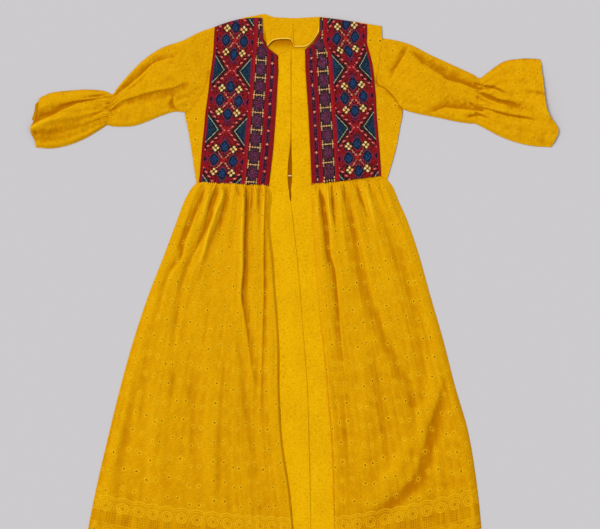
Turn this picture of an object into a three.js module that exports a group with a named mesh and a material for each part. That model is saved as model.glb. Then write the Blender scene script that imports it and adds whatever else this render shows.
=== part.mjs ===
// A Balochi gown laid flat on its back, face up, in millimetres with +Z up.
// +Y runs from hem to neck and +X to the viewer's right. Left and right are the viewer's.
// The origin is at the middle of the outline, on the surface that the gown lies on.
import * as THREE from 'three';

// Cloth and layers
const CLOTH = 1.2;
const SEAM_GAP = 0.3;
const FRONT_LEVEL = CLOTH + SEAM_GAP;
const TOP_LEVEL = 2 * FRONT_LEVEL;

// Finishes
const YELLOW = { color: 0xe8ab0c, roughness: 0.85, metalness: 0 };
const YELLOW_INSIDE = { color: 0xd89a0a, roughness: 0.88, metalness: 0 };
const EMBROIDERY = { color: 0x8a1f2c, roughness: 0.8, metalness: 0 };
const THREAD_BAR = { color: 0xe3ad5a, roughness: 0.55, metalness: 0.1 };

// Bodice edges from waist to shoulder. The side edge is side seam, then armhole, then shoulder
// point. The seam edge is the seam between panel and front band, then the neckline.
const ARMPIT_ROW = 4;
const ARMHOLE_TOP_LEFT = 12;
const ARMHOLE_TOP_RIGHT = 11;
const BODICE_LEFT = [
  { side: [-221, 233], panel: [-216, 234], seam: [-58, 225] },
  { side: [-226, 262], panel: [-213, 262], seam: [-53.5, 262] },
  { side: [-233, 312], panel: [-209, 312], seam: [-48, 312] },
  { side: [-241, 358], panel: [-204, 358], seam: [-44.5, 358] },
  { side: [-247, 392], panel: [-201, 392], seam: [-42, 392] },
  { side: [-227, 411], panel: [-198, 413], seam: [-40.5, 420] },
  { side: [-207, 443], panel: [-194, 443], seam: [-38.5, 455] },
  { side: [-197, 472], panel: [-191.5, 470], seam: [-36.5, 485] },
  { side: [-192, 500], panel: [-187, 500], seam: [-37, 520] },
  { side: [-188, 528], panel: [-183.5, 528], seam: [-60, 538] },
  { side: [-185, 556], panel: [-182, 556], seam: [-71, 560] },
  { side: [-183.5, 571], panel: [-181, 571], seam: [-72, 583] },
  { side: [-182, 585], panel: [-180, 585], seam: [-73, 606] },
];
const BODICE_RIGHT = [
  { side: [209, 241], panel: [196, 249], seam: [39, 229] },
  { side: [216, 264], panel: [195, 268], seam: [37.5, 262] },
  { side: [229, 310], panel: [192, 312], seam: [35.5, 310] },
  { side: [238, 358], panel: [188, 358], seam: [33, 358] },
  { side: [244, 399], panel: [185, 399], seam: [31, 399] },
  { side: [227, 425], panel: [184, 425], seam: [29, 425] },
  { side: [207, 446], panel: [182, 446], seam: [27.5, 446] },
  { side: [187, 459], panel: [181, 461], seam: [26.5, 465] },
  { side: [188, 485], panel: [178, 487], seam: [24.5, 493] },
  { side: [191, 511], panel: [174, 510], seam: [24, 534] },
  { side: [197, 545], panel: [164, 547], seam: [40, 550] },
  { side: [198, 560], panel: [164, 562], seam: [54, 570] },
  { side: [197, 587], panel: [164, 591], seam: [58, 607] },
];
const NECK_ROW_LEFT = 8;
const NECK_ROW_RIGHT = 9;
const BODICE_SWELL = 2.5;
const BODICE_SIDE_STRIPS = 2;
const PANEL_STRIPS = 6;

// Centre-front edges of the bodice bands, from waist to neckline
const CENTRE_LEFT = [[-12, 217], [-16, 240], [-15.5, 273], [-7.3, 353], [-7.2, 440], [-7.2, 531]];
const CENTRE_RIGHT = [[-8, 217], [-7, 240], [-7, 273], [-6.8, 353], [-6.8, 440], [-6.8, 536]];

// How far each shoulder edge arches above a straight line
const SHOULDER_ARCH = new Map([[BODICE_LEFT, 6.5], [BODICE_RIGHT, 1.5]]);

// Top edge of the back, left shoulder to right shoulder, and the waist from left to right
const BACK_TOP = [
  [-182, 585], [-150, 594.5], [-116, 606], [-67, 615], [-46, 607],
  [0, 605], [58, 608], [110, 601], [164, 592.5], [197, 587],
];
const BACK_WAIST = [
  [-221, 233], [-182, 232], [-125, 228], [-58, 225], [-12, 217],
  [-8, 217], [39, 229], [121, 233], [196, 247], [209, 241],
];

// Skirt edges from waist to hem: side seam, seam with the band, and the band's free edge.
// The left band's free edge lies on top of the right band.
const SKIRT_LEFT = [
  { side: [-221, 233], seam: [-58, 225], free: [-12, 217] },
  { side: [-235, 217], seam: [-51, 203], free: [-11, 201] },
  { side: [-250, 188], seam: [-53, 168], free: [-5, 165] },
  { side: [-268, 140], seam: [-53, 118], free: [0, 115] },
  { side: [-294, 70], seam: [-46, 50], free: [8, 47] },
  { side: [-329, -20], seam: [-40, -40], free: [15, -40] },
  { side: [-363, -122], seam: [-34, -132], free: [22, -132] },
  { side: [-393, -230], seam: [-33, -242], free: [30, -244] },
  { side: [-420, -340], seam: [-26, -358], free: [33, -360] },
  { side: [-446, -452], seam: [-8, -482], free: [36, -484] },
  { side: [-467, -556], seam: [2, -613.5], free: [37, -615] },
];
const SKIRT_RIGHT = [
  { side: [209, 241], seam: [39, 229], free: [-8, 217] },
  { side: [222, 224], seam: [38, 205], free: [-7, 201] },
  { side: [237, 188], seam: [40, 165], free: [-13, 165] },
  { side: [256, 144], seam: [42, 112], free: [-11, 115] },
  { side: [281, 70], seam: [48, 44], free: [-4, 47] },
  { side: [306, -20], seam: [55, -40], free: [4, -40] },
  { side: [335, -120], seam: [64, -132], free: [12, -132] },
  { side: [363, -229], seam: [74, -242], free: [20, -244] },
  { side: [392, -330], seam: [84, -358], free: [24, -360] },
  { side: [411, -445], seam: [88, -482], free: [27, -484] },
  { side: [422, -547], seam: [91, -612], free: [28, -614.9] },
];
const HEM_LEFT = [[-467, -556], [-360, -577], [-259, -592], [-150, -604], [-74, -610], [2, -613.5]];
const HEM_RIGHT = [[422, -547], [360, -562], [290, -578], [220, -592], [150, -604], [91, -612]];
const HEM_MIDDLE = [37, -615];
const SKIRT_ROWS = 15;
const BAND_STRIPS = 4;

// Gathers of a front skirt, from the side seam to the band: place along the waist seam,
// how far down the skirt it runs, and how high it stands
const GATHERS_LEFT = [
  { at: 0.035, run: 0.30, height: 4.0 },
  { at: 0.075, run: 0.42, height: 5.5 },
  { at: 0.155, run: 0.62, height: 6.5 },
  { at: 0.2, run: 0.40, height: 6.0 },
  { at: 0.245, run: 0.50, height: 6.5 },
  { at: 0.34, run: 0.66, height: 7.0 },
  { at: 0.39, run: 0.45, height: 6.5 },
  { at: 0.49, run: 0.46, height: 6.0 },
  { at: 0.53, run: 0.34, height: 5.5 },
  { at: 0.605, run: 0.58, height: 6.5 },
  { at: 0.65, run: 0.62, height: 6.5 },
  { at: 0.73, run: 0.52, height: 7.0 },
  { at: 0.82, run: 0.40, height: 6.5 },
  { at: 0.925, run: 0.64, height: 7.0 },
];
const GATHERS_RIGHT = [
  { at: 0.045, run: 0.30, height: 4.0 },
  { at: 0.1, run: 0.46, height: 5.0 },
  { at: 0.19, run: 0.38, height: 6.0 },
  { at: 0.29, run: 0.55, height: 6.0 },
  { at: 0.335, run: 0.44, height: 6.5 },
  { at: 0.41, run: 0.36, height: 5.5 },
  { at: 0.485, run: 0.62, height: 6.5 },
  { at: 0.53, run: 0.60, height: 6.5 },
  { at: 0.61, run: 0.40, height: 6.0 },
  { at: 0.655, run: 0.34, height: 5.5 },
  { at: 0.77, run: 0.44, height: 6.5 },
  { at: 0.81, run: 0.34, height: 5.5 },
  { at: 0.91, run: 0.66, height: 7.0 },
  { at: 0.96, run: 0.34, height: 4.5 },
];
const STRIPS_PER_GATHER = 4;
const GATHER_START = 0.35;
const GATHER_FULL_AT = 0.12;
const GATHER_HOLD = 0.35;
const GATHER_SHARPNESS = 1.15;
const SKIRT_PUFF = 4.5;
const PUFF_FULL_AT = 0.15;
const SIDE_SLOPE = 26;
const BAND_SLOPE = 13;
const LAP = { climbFrom: 0.2, climbTo: 0.75, fullAt: 0.1 };

// Long folds of the skirt: a curve from, past and to a place, half width and depth.
// A negative depth is a ridge.
const FOLD_STEPS = 10;
const FOLD_TAPER = 0.25;
const FOLD_END_SHARE = 0.35;
const FOLDS_LEFT = [
  { from: [-204, 221], past: [-240, 120], to: [-306, -66], width: 15, depth: 6 },
  { from: [-188, 215], past: [-215, 130], to: [-245, 20], width: 13, depth: -6 },
  { from: [-173, 222], past: [-205, 90], to: [-263, -77], width: 11, depth: 5 },
  { from: [-106, 221], past: [-112, 20], to: [-90, -341], width: 11, depth: 7 },
  { from: [-126, 200], past: [-132, 10], to: [-112, -250], width: 14, depth: -5 },
  { from: [-64, 210], past: [-66, 0], to: [-82, -255], width: 8, depth: 6 },
  { from: [-155, -228], past: [-112, -385], to: [-51, -511], width: 20, depth: 3.5 },
  { from: [-234, -246], past: [-236, -340], to: [-238, -427], width: 20, depth: 2.5 },
  { from: [-354, -237], past: [-374, -345], to: [-397, -450], width: 18, depth: 2.5 },
  { from: [-263, -142], past: [-276, -190], to: [-290, -237], width: 16, depth: 2.5 },
  { from: [-190, -180], past: [-178, -330], to: [-140, -500], width: 30, depth: -3.5 },
  { from: [-310, -120], past: [-325, -300], to: [-330, -520], width: 34, depth: -3.5 },
];
const FOLDS_RIGHT = [
  { from: [56, 221], past: [76, 80], to: [114, -298], width: 11, depth: 7 },
  { from: [96, 205], past: [104, 60], to: [132, -200], width: 15, depth: -5 },
  { from: [76, 217], past: [86, 195], to: [92, 151], width: 7, depth: 5 },
  { from: [144, 233], past: [155, 190], to: [168, 140], width: 8, depth: 6 },
  { from: [132, 230], past: [146, 60], to: [212, -134], width: 13, depth: 6 },
  { from: [212, -134], past: [255, -170], to: [263, -298], width: 14, depth: 4 },
  { from: [207, -170], past: [214, -230], to: [220, -289], width: 12, depth: 3 },
  { from: [193, 165], past: [215, 110], to: [268, 25], width: 14, depth: 3.5 },
  { from: [268, 25], past: [276, -40], to: [281, -104], width: 14, depth: 2.5 },
  { from: [345, -221], past: [315, -430], to: [177, -545], width: 18, depth: 4.5 },
  { from: [330, -190], past: [280, -390], to: [150, -500], width: 28, depth: -4.5 },
  { from: [160, -180], past: [165, -330], to: [150, -460], width: 26, depth: -3 },
];

// Sleeve stations from armhole to mouth: upper and lower edge, crown height and ripple height
const SLEEVE_LEFT = [
  { upper: [-182, 585], lower: [-247, 392], crown: 0, ripple: 0 },
  { upper: [-216, 573], lower: [-270, 394], crown: 3, ripple: 0 },
  { upper: [-254, 554], lower: [-298, 386], crown: 6, ripple: 0 },
  { upper: [-300, 538], lower: [-330, 373], crown: 7, ripple: 0 },
  { upper: [-342, 510], lower: [-363, 362], crown: 7, ripple: 0 },
  { upper: [-376, 476], lower: [-393, 360], crown: 6, ripple: 0.8 },
  { upper: [-400, 448], lower: [-412, 361], crown: 4, ripple: 2.2 },
  { upper: [-411, 434], lower: [-424, 363], crown: 2, ripple: 2 },
  { upper: [-430, 441], lower: [-440, 353], crown: 4, ripple: 3.5 },
  { upper: [-470, 444], lower: [-474, 333], crown: 8, ripple: 3 },
  { upper: [-515, 441], lower: [-512, 318], crown: 9, ripple: 2 },
  { upper: [-552, 436], lower: [-549, 311], crown: 9, ripple: 1.5 },
  { upper: [-577, 424], lower: [-583, 313], crown: 8, ripple: 1.5 },
];
const SLEEVE_RIGHT = [
  { upper: [198, 560], lower: [244, 399], crown: 0, ripple: 0 },
  { upper: [229, 555], lower: [272, 391], crown: 3, ripple: 0 },
  { upper: [263, 545], lower: [300, 385], crown: 6, ripple: 0 },
  { upper: [306, 523], lower: [331, 379], crown: 7, ripple: 0 },
  { upper: [345, 505], lower: [358, 373], crown: 7, ripple: 0 },
  { upper: [380, 489], lower: [382, 369], crown: 6, ripple: 0.8 },
  { upper: [404, 478], lower: [399, 367], crown: 4, ripple: 2.2 },
  { upper: [419, 470], lower: [410, 366], crown: 2, ripple: 2 },
  { upper: [436, 482], lower: [434, 354], crown: 4, ripple: 3.5 },
  { upper: [471, 506], lower: [467, 337], crown: 8, ripple: 3 },
  { upper: [505, 513], lower: [503, 324], crown: 9, ripple: 2 },
  { upper: [535, 514], lower: [541, 316], crown: 9, ripple: 1.5 },
  { upper: [556, 512], lower: [577, 314], crown: 8, ripple: 1.5 },
];
const ARMHOLE_FADE_STATIONS = 3;
const STRIPS_PER_ARMHOLE_ROW = 3;
const FLOUNCE_WAVES = 7;
const SLEEVE_HOLLOW = 0.3;
const FULL_FOLD_CROWN = 4;
const CROWN_ROUNDNESS = 0.6;
const RIM_SOFTNESS = 0.4;
const RIM_WALLS = 3;
const MOUTH_TIP_LEFT = { at: 9 / 24, reach: 15.3, spread: 0.22 };
const MOUTH_TIP_RIGHT = { at: 4 / 21, reach: 23, spread: 0.15 };
const SLEEVE_FOLDS_LEFT = [
  { from: [-304, 522], past: [-350, 478], to: [-406, 429], width: 13, depth: 5 },
  { from: [-250, 457], past: [-318, 432], to: [-406, 391], width: 13, depth: 4 },
  { from: [-424, 426], past: [-500, 424], to: [-592, 368], width: 9, depth: 7 },
  { from: [-440, 408], past: [-510, 384], to: [-588, 340], width: 12, depth: -3 },
];
const SLEEVE_FOLDS_RIGHT = [
  { from: [272, 525], past: [335, 480], to: [424, 450], width: 12, depth: 5 },
  { from: [315, 393], past: [345, 412], to: [392, 414], width: 11, depth: 3.5 },
  { from: [436, 424], past: [470, 414], to: [520, 406], width: 12, depth: 6 },
  { from: [428, 393], past: [480, 386], to: [546, 372], width: 9, depth: 3.5 },
];

// Back neck facing: each half has a free lower edge that curls up off the back
const FACING_LEFT = {
  lower: [[-60.5, 541], [-50, 553], [-30, 556], [-9.5, 556]],
  upper: [[-70.5, 603], [-46, 605], [-25, 604], [-3.3, 603.5]],
  curl: 3.5,
  belly: 1.5,
};
const FACING_RIGHT = {
  lower: [[-2, 541], [15, 540], [30, 542.5], [43, 555]],
  upper: [[-2.7, 603.5], [18, 604], [40, 605.5], [57, 606]],
  curl: 1.5,
  belly: 4,
};
const FACING_ROWS = 3;

// Hook bar across the gap at the waist, between the edges of the two bands
const HOOK = { left: -15.86, right: -7, y: 249, height: 2.4 };

const group = new THREE.Group();

function smooth(low, high, value) {
  const t = Math.min(1, Math.max(0, (value - low) / (high - low)));
  return t * t * (3 - 2 * t);
}

function mix(a, b, t) {
  return [a[0] + (b[0] - a[0]) * t, a[1] + (b[1] - a[1]) * t];
}

// The point at t of a chain of points, straight from one to the next
function chainAt(points, t) {
  const place = t * (points.length - 1);
  const index = Math.min(points.length - 2, Math.floor(place));
  return mix(points[index], points[index + 1], place - index);
}

// The point at t of a smooth curve through the points
function curveAt(points, t) {
  const curve = new THREE.SplineCurve(points.map((point) => new THREE.Vector2(...point)));
  const point = curve.getPoint(t);
  return [point.x, point.y];
}

function column(rows, name) {
  return rows.map((row) => row[name]);
}

// The armhole part of a bodice's side edge, from armpit to top
function armholeOf(table, topRow) {
  return column(table.slice(ARMPIT_ROW, topRow + 1), 'side');
}

// A patch between four edges: u runs from start to end, v from first to last
function patch(startEdge, endEdge, firstEdge, lastEdge) {
  const corners = [startEdge(0), endEdge(0), startEdge(1), endEdge(1)];
  return (u, v) => {
    const across = mix(startEdge(v), endEdge(v), u);
    const down = mix(firstEdge(u), lastEdge(u), v);
    const flat = mix(mix(corners[0], corners[1], u), mix(corners[2], corners[3], u), v);
    return [across[0] + down[0] - flat[0], across[1] + down[1] - flat[1]];
  };
}

// Distance from a place to the quadratic curve of a fold, and where along it the nearest point is
function nearestOnFold(fold, x, y) {
  let best = { distance: Infinity, t: 0 };
  let previous = fold.from;
  for (let step = 1; step <= FOLD_STEPS; step += 1) {
    const t = step / FOLD_STEPS;
    const next = mix(mix(fold.from, fold.past, t), mix(fold.past, fold.to, t), t);
    const dx = next[0] - previous[0];
    const dy = next[1] - previous[1];
    const along = ((x - previous[0]) * dx + (y - previous[1]) * dy) / (dx * dx + dy * dy);
    const held = Math.min(1, Math.max(0, along));
    const distance = Math.hypot(x - previous[0] - dx * held, y - previous[1] - dy * held);
    if (distance < best.distance) {
      best = { distance, t: (step - 1 + held) / FOLD_STEPS };
    }
    previous = next;
  }
  return best;
}

// How far the folds of a table lower the cloth at a place: each is shallower at its ends
function foldDepth(folds, x, y) {
  let depth = 0;
  for (const fold of folds) {
    const near = nearestOnFold(fold, x, y);
    const ends = smooth(0, FOLD_TAPER, near.t) * smooth(0, FOLD_TAPER, 1 - near.t);
    const profile = Math.exp(-((near.distance / fold.width) ** 2));
    depth += fold.depth * profile * (FOLD_END_SHARE + (1 - FOLD_END_SHARE) * ends);
  }
  return depth;
}

function signedVolume(positions, indices) {
  let volume = 0;
  const point = (index) => new THREE.Vector3().fromArray(positions, 3 * index);
  for (let i = 0; i < indices.length; i += 3) {
    volume += point(indices[i]).dot(point(indices[i + 1]).cross(point(indices[i + 2])));
  }
  return volume;
}

function addBody(name, finish, positions, indices) {
  if (signedVolume(positions, indices) < 0) {
    indices.reverse();
  }
  const geometry = new THREE.BufferGeometry();
  geometry.setAttribute('position', new THREE.Float32BufferAttribute(positions, 3));
  geometry.setIndex(indices);
  geometry.computeVertexNormals();
  const mesh = new THREE.Mesh(geometry, new THREE.MeshStandardMaterial(finish));
  mesh.name = name;
  group.add(mesh);
}

// The upward normal of a grid surface at one of its inner points
function gridNormal(points, column, row) {
  const across = new THREE.Vector3().subVectors(points[column + 1][row], points[column - 1][row]);
  const down = new THREE.Vector3().subVectors(points[column][row + 1], points[column][row - 1]);
  const normal = across.cross(down).normalize();
  return normal.z < 0 ? normal.negate() : normal;
}

// A cloth wall over a grid: under(i, j) gives its lower surface at column i and row j
function addSheet(name, finish, columns, rows, under) {
  const points = [];
  for (let i = 0; i <= columns; i += 1) {
    points.push([]);
    for (let j = 0; j <= rows; j += 1) {
      points[i].push(new THREE.Vector3(...under(i, j)));
    }
  }
  const positions = [];
  for (let layer = 0; layer < 2; layer += 1) {
    for (let i = 0; i <= columns; i += 1) {
      for (let j = 0; j <= rows; j += 1) {
        const onEdge = i === 0 || j === 0 || i === columns || j === rows;
        const up = onEdge ? new THREE.Vector3(0, 0, 1) : gridNormal(points, i, j);
        positions.push(...points[i][j].clone().addScaledVector(up, layer * CLOTH).toArray());
      }
    }
  }
  const perLayer = (columns + 1) * (rows + 1);
  const at = (layer, i, j) => layer * perLayer + i * (rows + 1) + j;
  const indices = [];
  const quad = (a, b, c, d) => indices.push(a, b, c, a, c, d);
  for (let i = 0; i < columns; i += 1) {
    for (let j = 0; j < rows; j += 1) {
      quad(at(0, i, j), at(0, i + 1, j), at(0, i + 1, j + 1), at(0, i, j + 1));
      quad(at(1, i, j), at(1, i, j + 1), at(1, i + 1, j + 1), at(1, i + 1, j));
    }
  }
  for (let i = 0; i < columns; i += 1) {
    quad(at(0, i, 0), at(1, i, 0), at(1, i + 1, 0), at(0, i + 1, 0));
    quad(at(0, i + 1, rows), at(1, i + 1, rows), at(1, i, rows), at(0, i, rows));
  }
  for (let j = 0; j < rows; j += 1) {
    quad(at(0, 0, j + 1), at(1, 0, j + 1), at(1, 0, j), at(0, 0, j));
    quad(at(0, columns, j), at(1, columns, j), at(1, columns, j + 1), at(0, columns, j + 1));
  }
  addBody(name, finish, positions, indices);
}

// A flat tube of cloth, open at both ends: ring(k) gives the outer and inner points of station k
function addTube(name, finish, stations, ring) {
  const positions = [];
  let count = 0;
  for (let k = 0; k <= stations; k += 1) {
    const { outer, inner } = ring(k);
    count = outer.length;
    positions.push(...outer.flat(), ...inner.flat());
  }
  const at = (k, wall, n) => (2 * k + wall) * count + (n % count);
  const indices = [];
  const quad = (a, b, c, d) => indices.push(a, b, c, a, c, d);
  for (let n = 0; n < count; n += 1) {
    for (let k = 0; k < stations; k += 1) {
      quad(at(k, 0, n), at(k + 1, 0, n), at(k + 1, 0, n + 1), at(k, 0, n + 1));
      quad(at(k, 1, n), at(k, 1, n + 1), at(k + 1, 1, n + 1), at(k + 1, 1, n));
    }
    quad(at(0, 0, n), at(0, 0, n + 1), at(0, 1, n + 1), at(0, 1, n));
    quad(at(stations, 0, n), at(stations, 1, n), at(stations, 1, n + 1), at(stations, 0, n + 1));
  }
  addBody(name, finish, positions, indices);
}

// Height of a front bodice's underside: it swells a little between its edges
function bodiceHeight(strip, row, rows) {
  const across = strip / (BODICE_SIDE_STRIPS + PANEL_STRIPS);
  const down = row / rows;
  return FRONT_LEVEL + BODICE_SWELL * Math.sin(Math.PI * across) * Math.sin(Math.PI * down) ** 0.7;
}

function bodicePoint(table, strip, row) {
  const { side, panel, seam } = table[row];
  const onPanel = Math.max(0, strip - BODICE_SIDE_STRIPS) / PANEL_STRIPS;
  const arch = row === table.length - 1 ? SHOULDER_ARCH.get(table) * Math.sin(Math.PI * onPanel) : 0;
  const [x, y] = strip < BODICE_SIDE_STRIPS
    ? mix(side, panel, strip / BODICE_SIDE_STRIPS)
    : mix(panel, seam, (strip - BODICE_SIDE_STRIPS) / PANEL_STRIPS);
  return [x, y + arch, bodiceHeight(strip, row, table.length - 1)];
}

function addFrontBodice(name, table) {
  addSheet(name, YELLOW, BODICE_SIDE_STRIPS + PANEL_STRIPS, table.length - 1,
    (strip, row) => bodicePoint(table, strip, row));
}

// The embroidered panel lies on the bodice: the bodice's own points, moved up
function addPanel(name, table) {
  addSheet(name, EMBROIDERY, PANEL_STRIPS, table.length - 1, (strip, row) => {
    const [x, y, z] = bodicePoint(table, strip + BODICE_SIDE_STRIPS, row);
    return [x, y, z + FRONT_LEVEL];
  });
}

// A bodice band runs from the panel seam to the centre front, and from waist to neckline
function addBodiceBand(name, table, neckRow, centre) {
  const inward = Math.sign(centre[0][0] - table[0].seam[0]) * SEAM_GAP;
  const seam = column(table.slice(0, neckRow + 1), 'seam');
  addSheet(name, YELLOW, BAND_STRIPS, neckRow, (strip, row) => {
    const v = row / neckRow;
    const [seamX, seamY] = seam[row];
    const [x, y] = mix([seamX + inward, seamY], chainAt(centre, v), strip / BAND_STRIPS);
    return [x, y, FRONT_LEVEL];
  });
}

// How high the gathers lift the skirt at u across the piece and v down it
function gatherHeight(gathers, u, v) {
  const pitch = 1 / gathers.length;
  const start = GATHER_START + (1 - GATHER_START) * smooth(0, GATHER_FULL_AT, v);
  let height = 0;
  for (const { at, run, height: peak } of gathers) {
    const offset = Math.min(1, GATHER_SHARPNESS * Math.abs(u - at) / pitch);
    const fade = 1 - smooth(GATHER_HOLD * run, run, v);
    height += peak * (0.5 + 0.5 * Math.cos(Math.PI * offset)) * start * fade;
  }
  return height;
}

// How far the skirt lies below the waist seam's edge: the seam gap, closing further down
function waistGap(v) {
  return SEAM_GAP * (1 - smooth(0, GATHER_FULL_AT, v));
}

// A front skirt from side seam to band seam. Its edges lie down on the back.
function addFrontSkirt(name, table, hem, gathers, folds) {
  const columns = gathers.length * STRIPS_PER_GATHER;
  const side = column(table, 'side');
  const seam = column(table, 'seam');
  const outward = Math.sign(side[0][0] - seam[0][0]) * SEAM_GAP;
  const place = patch(
    (v) => curveAt(side, v), (v) => curveAt(seam, v),
    (u) => mix(side[0], seam[0], u), (u) => curveAt(hem, u));
  addSheet(name, YELLOW, columns, SKIRT_ROWS, (i, j) => {
    const u = i / columns;
    const v = j / SKIRT_ROWS;
    const [x, y] = place(u, v);
    const width = Math.abs(place(1, v)[0] - place(0, v)[0]);
    const edge = smooth(0, SIDE_SLOPE, u * width) * smooth(0, BAND_SLOPE, (1 - u) * width);
    const puff = SKIRT_PUFF * smooth(0, PUFF_FULL_AT, v);
    const folded = (puff - foldDepth(folds, x, y)) * smooth(-GATHER_FULL_AT, GATHER_FULL_AT, v);
    const height = edge * Math.max(0, gatherHeight(gathers, u, v) + folded);
    return [x + outward * u, y - waistGap(v), FRONT_LEVEL + height];
  });
}

// A skirt band, from its seam to its free edge: the left one climbs onto the right one
function addSkirtBand(name, table, laps) {
  const seam = column(table, 'seam');
  const free = column(table, 'free');
  addSheet(name, YELLOW, BAND_STRIPS, SKIRT_ROWS, (strip, row) => {
    const u = strip / BAND_STRIPS;
    const v = row / SKIRT_ROWS;
    const [x, y] = mix(curveAt(seam, v), curveAt(free, v), u);
    const climb = laps ? smooth(LAP.climbFrom, LAP.climbTo, u) * smooth(0, LAP.fullAt, v) : 0;
    return [x, y - waistGap(v), FRONT_LEVEL + (TOP_LEVEL - FRONT_LEVEL) * climb];
  });
}

function addBackBodice() {
  const left = column(BODICE_LEFT, 'side');
  const right = column(BODICE_RIGHT, 'side');
  const place = patch(
    (v) => chainAt(left, v), (v) => chainAt(right, v),
    (u) => chainAt(BACK_WAIST, u), (u) => chainAt(BACK_TOP, u));
  const columns = BACK_TOP.length - 1;
  const rows = BODICE_LEFT.length - 1;
  addSheet('back_bodice', YELLOW_INSIDE, columns, rows, (i, j) => [...place(i / columns, j / rows), 0]);
}

function addBackSkirt() {
  const left = column(SKIRT_LEFT, 'side');
  const right = column(SKIRT_RIGHT, 'side');
  const hem = [...HEM_LEFT, HEM_MIDDLE, ...[...HEM_RIGHT].reverse()];
  const place = patch(
    (v) => curveAt(left, v), (v) => curveAt(right, v),
    (u) => chainAt(BACK_WAIST, u), (u) => chainAt(hem, u));
  const columns = BACK_WAIST.length - 1;
  addSheet('back_skirt', YELLOW_INSIDE, columns, SKIRT_ROWS, (i, j) => {
    const v = j / SKIRT_ROWS;
    const [x, y] = place(i / columns, v);
    return [x, y - waistGap(v), 0];
  });
}

// A facing half lies on the back, and its free lower edge curls up
function addFacing(name, { lower, upper, curl, belly }) {
  const columns = lower.length - 1;
  addSheet(name, YELLOW_INSIDE, columns, FACING_ROWS, (i, j) => {
    const v = j / FACING_ROWS;
    const [x, y] = mix(upper[i], lower[i], v);
    const swell = belly * Math.sin(Math.PI * i / columns) * v * (1 - v);
    return [x, y, FRONT_LEVEL + curl * v * v + swell];
  });
}

// A sleeve: the armhole's shape fades into straight stations, and the mouth has a tip
function addSleeve(name, stations, armhole, folds, tip) {
  const last = stations.length - 1;
  const underStrips = armhole.length - 1;
  const topStrips = STRIPS_PER_ARMHOLE_ROW * underStrips;
  const uppers = column(stations, 'upper');
  const lowers = column(stations, 'lower');
  const outward = Math.sign(uppers[last][0]);
  const place = (k, w) => {
    const [x, y] = mix(lowers[k], uppers[k], w);
    const chord = mix(lowers[0], uppers[0], w);
    const edge = chainAt(armhole, w);
    const fade = 1 - Math.min(1, k / ARMHOLE_FADE_STATIONS);
    const reach = k === last ? tip.reach * Math.exp(-(((w - tip.at) / tip.spread) ** 2)) : 0;
    const gap = k === 0 ? SEAM_GAP : 0;
    return [
      x + (edge[0] - chord[0]) * fade + outward * (reach + gap),
      y + (edge[1] - chord[1]) * fade + gap,
    ];
  };
  const liningHeight = (k, w) => {
    const { crown, ripple } = stations[k];
    const rim = Math.sin(Math.PI * w);
    const wave = ripple * (0.5 - 0.5 * Math.cos(2 * Math.PI * FLOUNCE_WAVES * w));
    const fold = foldDepth(folds, ...place(k, w)) * Math.min(1, crown / FULL_FOLD_CROWN);
    const rise = crown * rim ** CROWN_ROUNDNESS + smooth(0, RIM_SOFTNESS, rim) * (wave - fold);
    return CLOTH + SLEEVE_HOLLOW + Math.max(0, rise);
  };
  addTube(name, YELLOW, last, (k) => {
    const outer = [];
    const inner = [];
    const length = Math.hypot(uppers[k][0] - lowers[k][0], uppers[k][1] - lowers[k][1]);
    const add = (w, outerZ, innerZ) => {
      const squeezed = 0.5 + (w - 0.5) * (1 - RIM_WALLS * CLOTH / length);
      outer.push([...place(k, w), outerZ]);
      inner.push([...place(k, squeezed), innerZ]);
    };
    for (let n = 1; n < underStrips; n += 1) {
      add(1 - n / underStrips, 0, CLOTH);
    }
    for (let n = 0; n <= topStrips; n += 1) {
      const w = n / topStrips;
      const z = liningHeight(k, w);
      const onRim = n === 0 || n === topStrips;
      add(w, onRim ? z : z + CLOTH, onRim ? CLOTH + SLEEVE_HOLLOW / 2 : z);
    }
    return { outer, inner };
  });
}

// The hook bar spans the gap between the bodice bands
function addHook() {
  const left = HOOK.left + SEAM_GAP;
  const right = HOOK.right - SEAM_GAP;
  const geometry = new THREE.BoxGeometry(right - left, HOOK.height, CLOTH);
  const mesh = new THREE.Mesh(geometry, new THREE.MeshStandardMaterial(THREAD_BAR));
  mesh.name = 'closure_hook';
  mesh.position.set((left + right) / 2, HOOK.y, FRONT_LEVEL + CLOTH / 2);
  group.add(mesh);
}

addBackBodice();
addBackSkirt();
addFacing('back_neck_facing_left', FACING_LEFT);
addFacing('back_neck_facing_right', FACING_RIGHT);
addFrontBodice('front_bodice_left', BODICE_LEFT);
addFrontBodice('front_bodice_right', BODICE_RIGHT);
addPanel('embroidered_panel_left', BODICE_LEFT);
addPanel('embroidered_panel_right', BODICE_RIGHT);
addBodiceBand('band_bodice_left', BODICE_LEFT, NECK_ROW_LEFT, CENTRE_LEFT);
addBodiceBand('band_bodice_right', BODICE_RIGHT, NECK_ROW_RIGHT, CENTRE_RIGHT);
addFrontSkirt('front_skirt_left', SKIRT_LEFT, HEM_LEFT, GATHERS_LEFT, FOLDS_LEFT);
addFrontSkirt('front_skirt_right', SKIRT_RIGHT, HEM_RIGHT, GATHERS_RIGHT, FOLDS_RIGHT);
addSkirtBand('band_skirt_left', SKIRT_LEFT, true);
addSkirtBand('band_skirt_right', SKIRT_RIGHT, false);
addSleeve('sleeve_left', SLEEVE_LEFT, armholeOf(BODICE_LEFT, ARMHOLE_TOP_LEFT),
  SLEEVE_FOLDS_LEFT, MOUTH_TIP_LEFT);
addSleeve('sleeve_right', SLEEVE_RIGHT, armholeOf(BODICE_RIGHT, ARMHOLE_TOP_RIGHT),
  SLEEVE_FOLDS_RIGHT, MOUTH_TIP_RIGHT);
addHook();

export default group;
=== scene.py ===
import math
from types import SimpleNamespace

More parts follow.
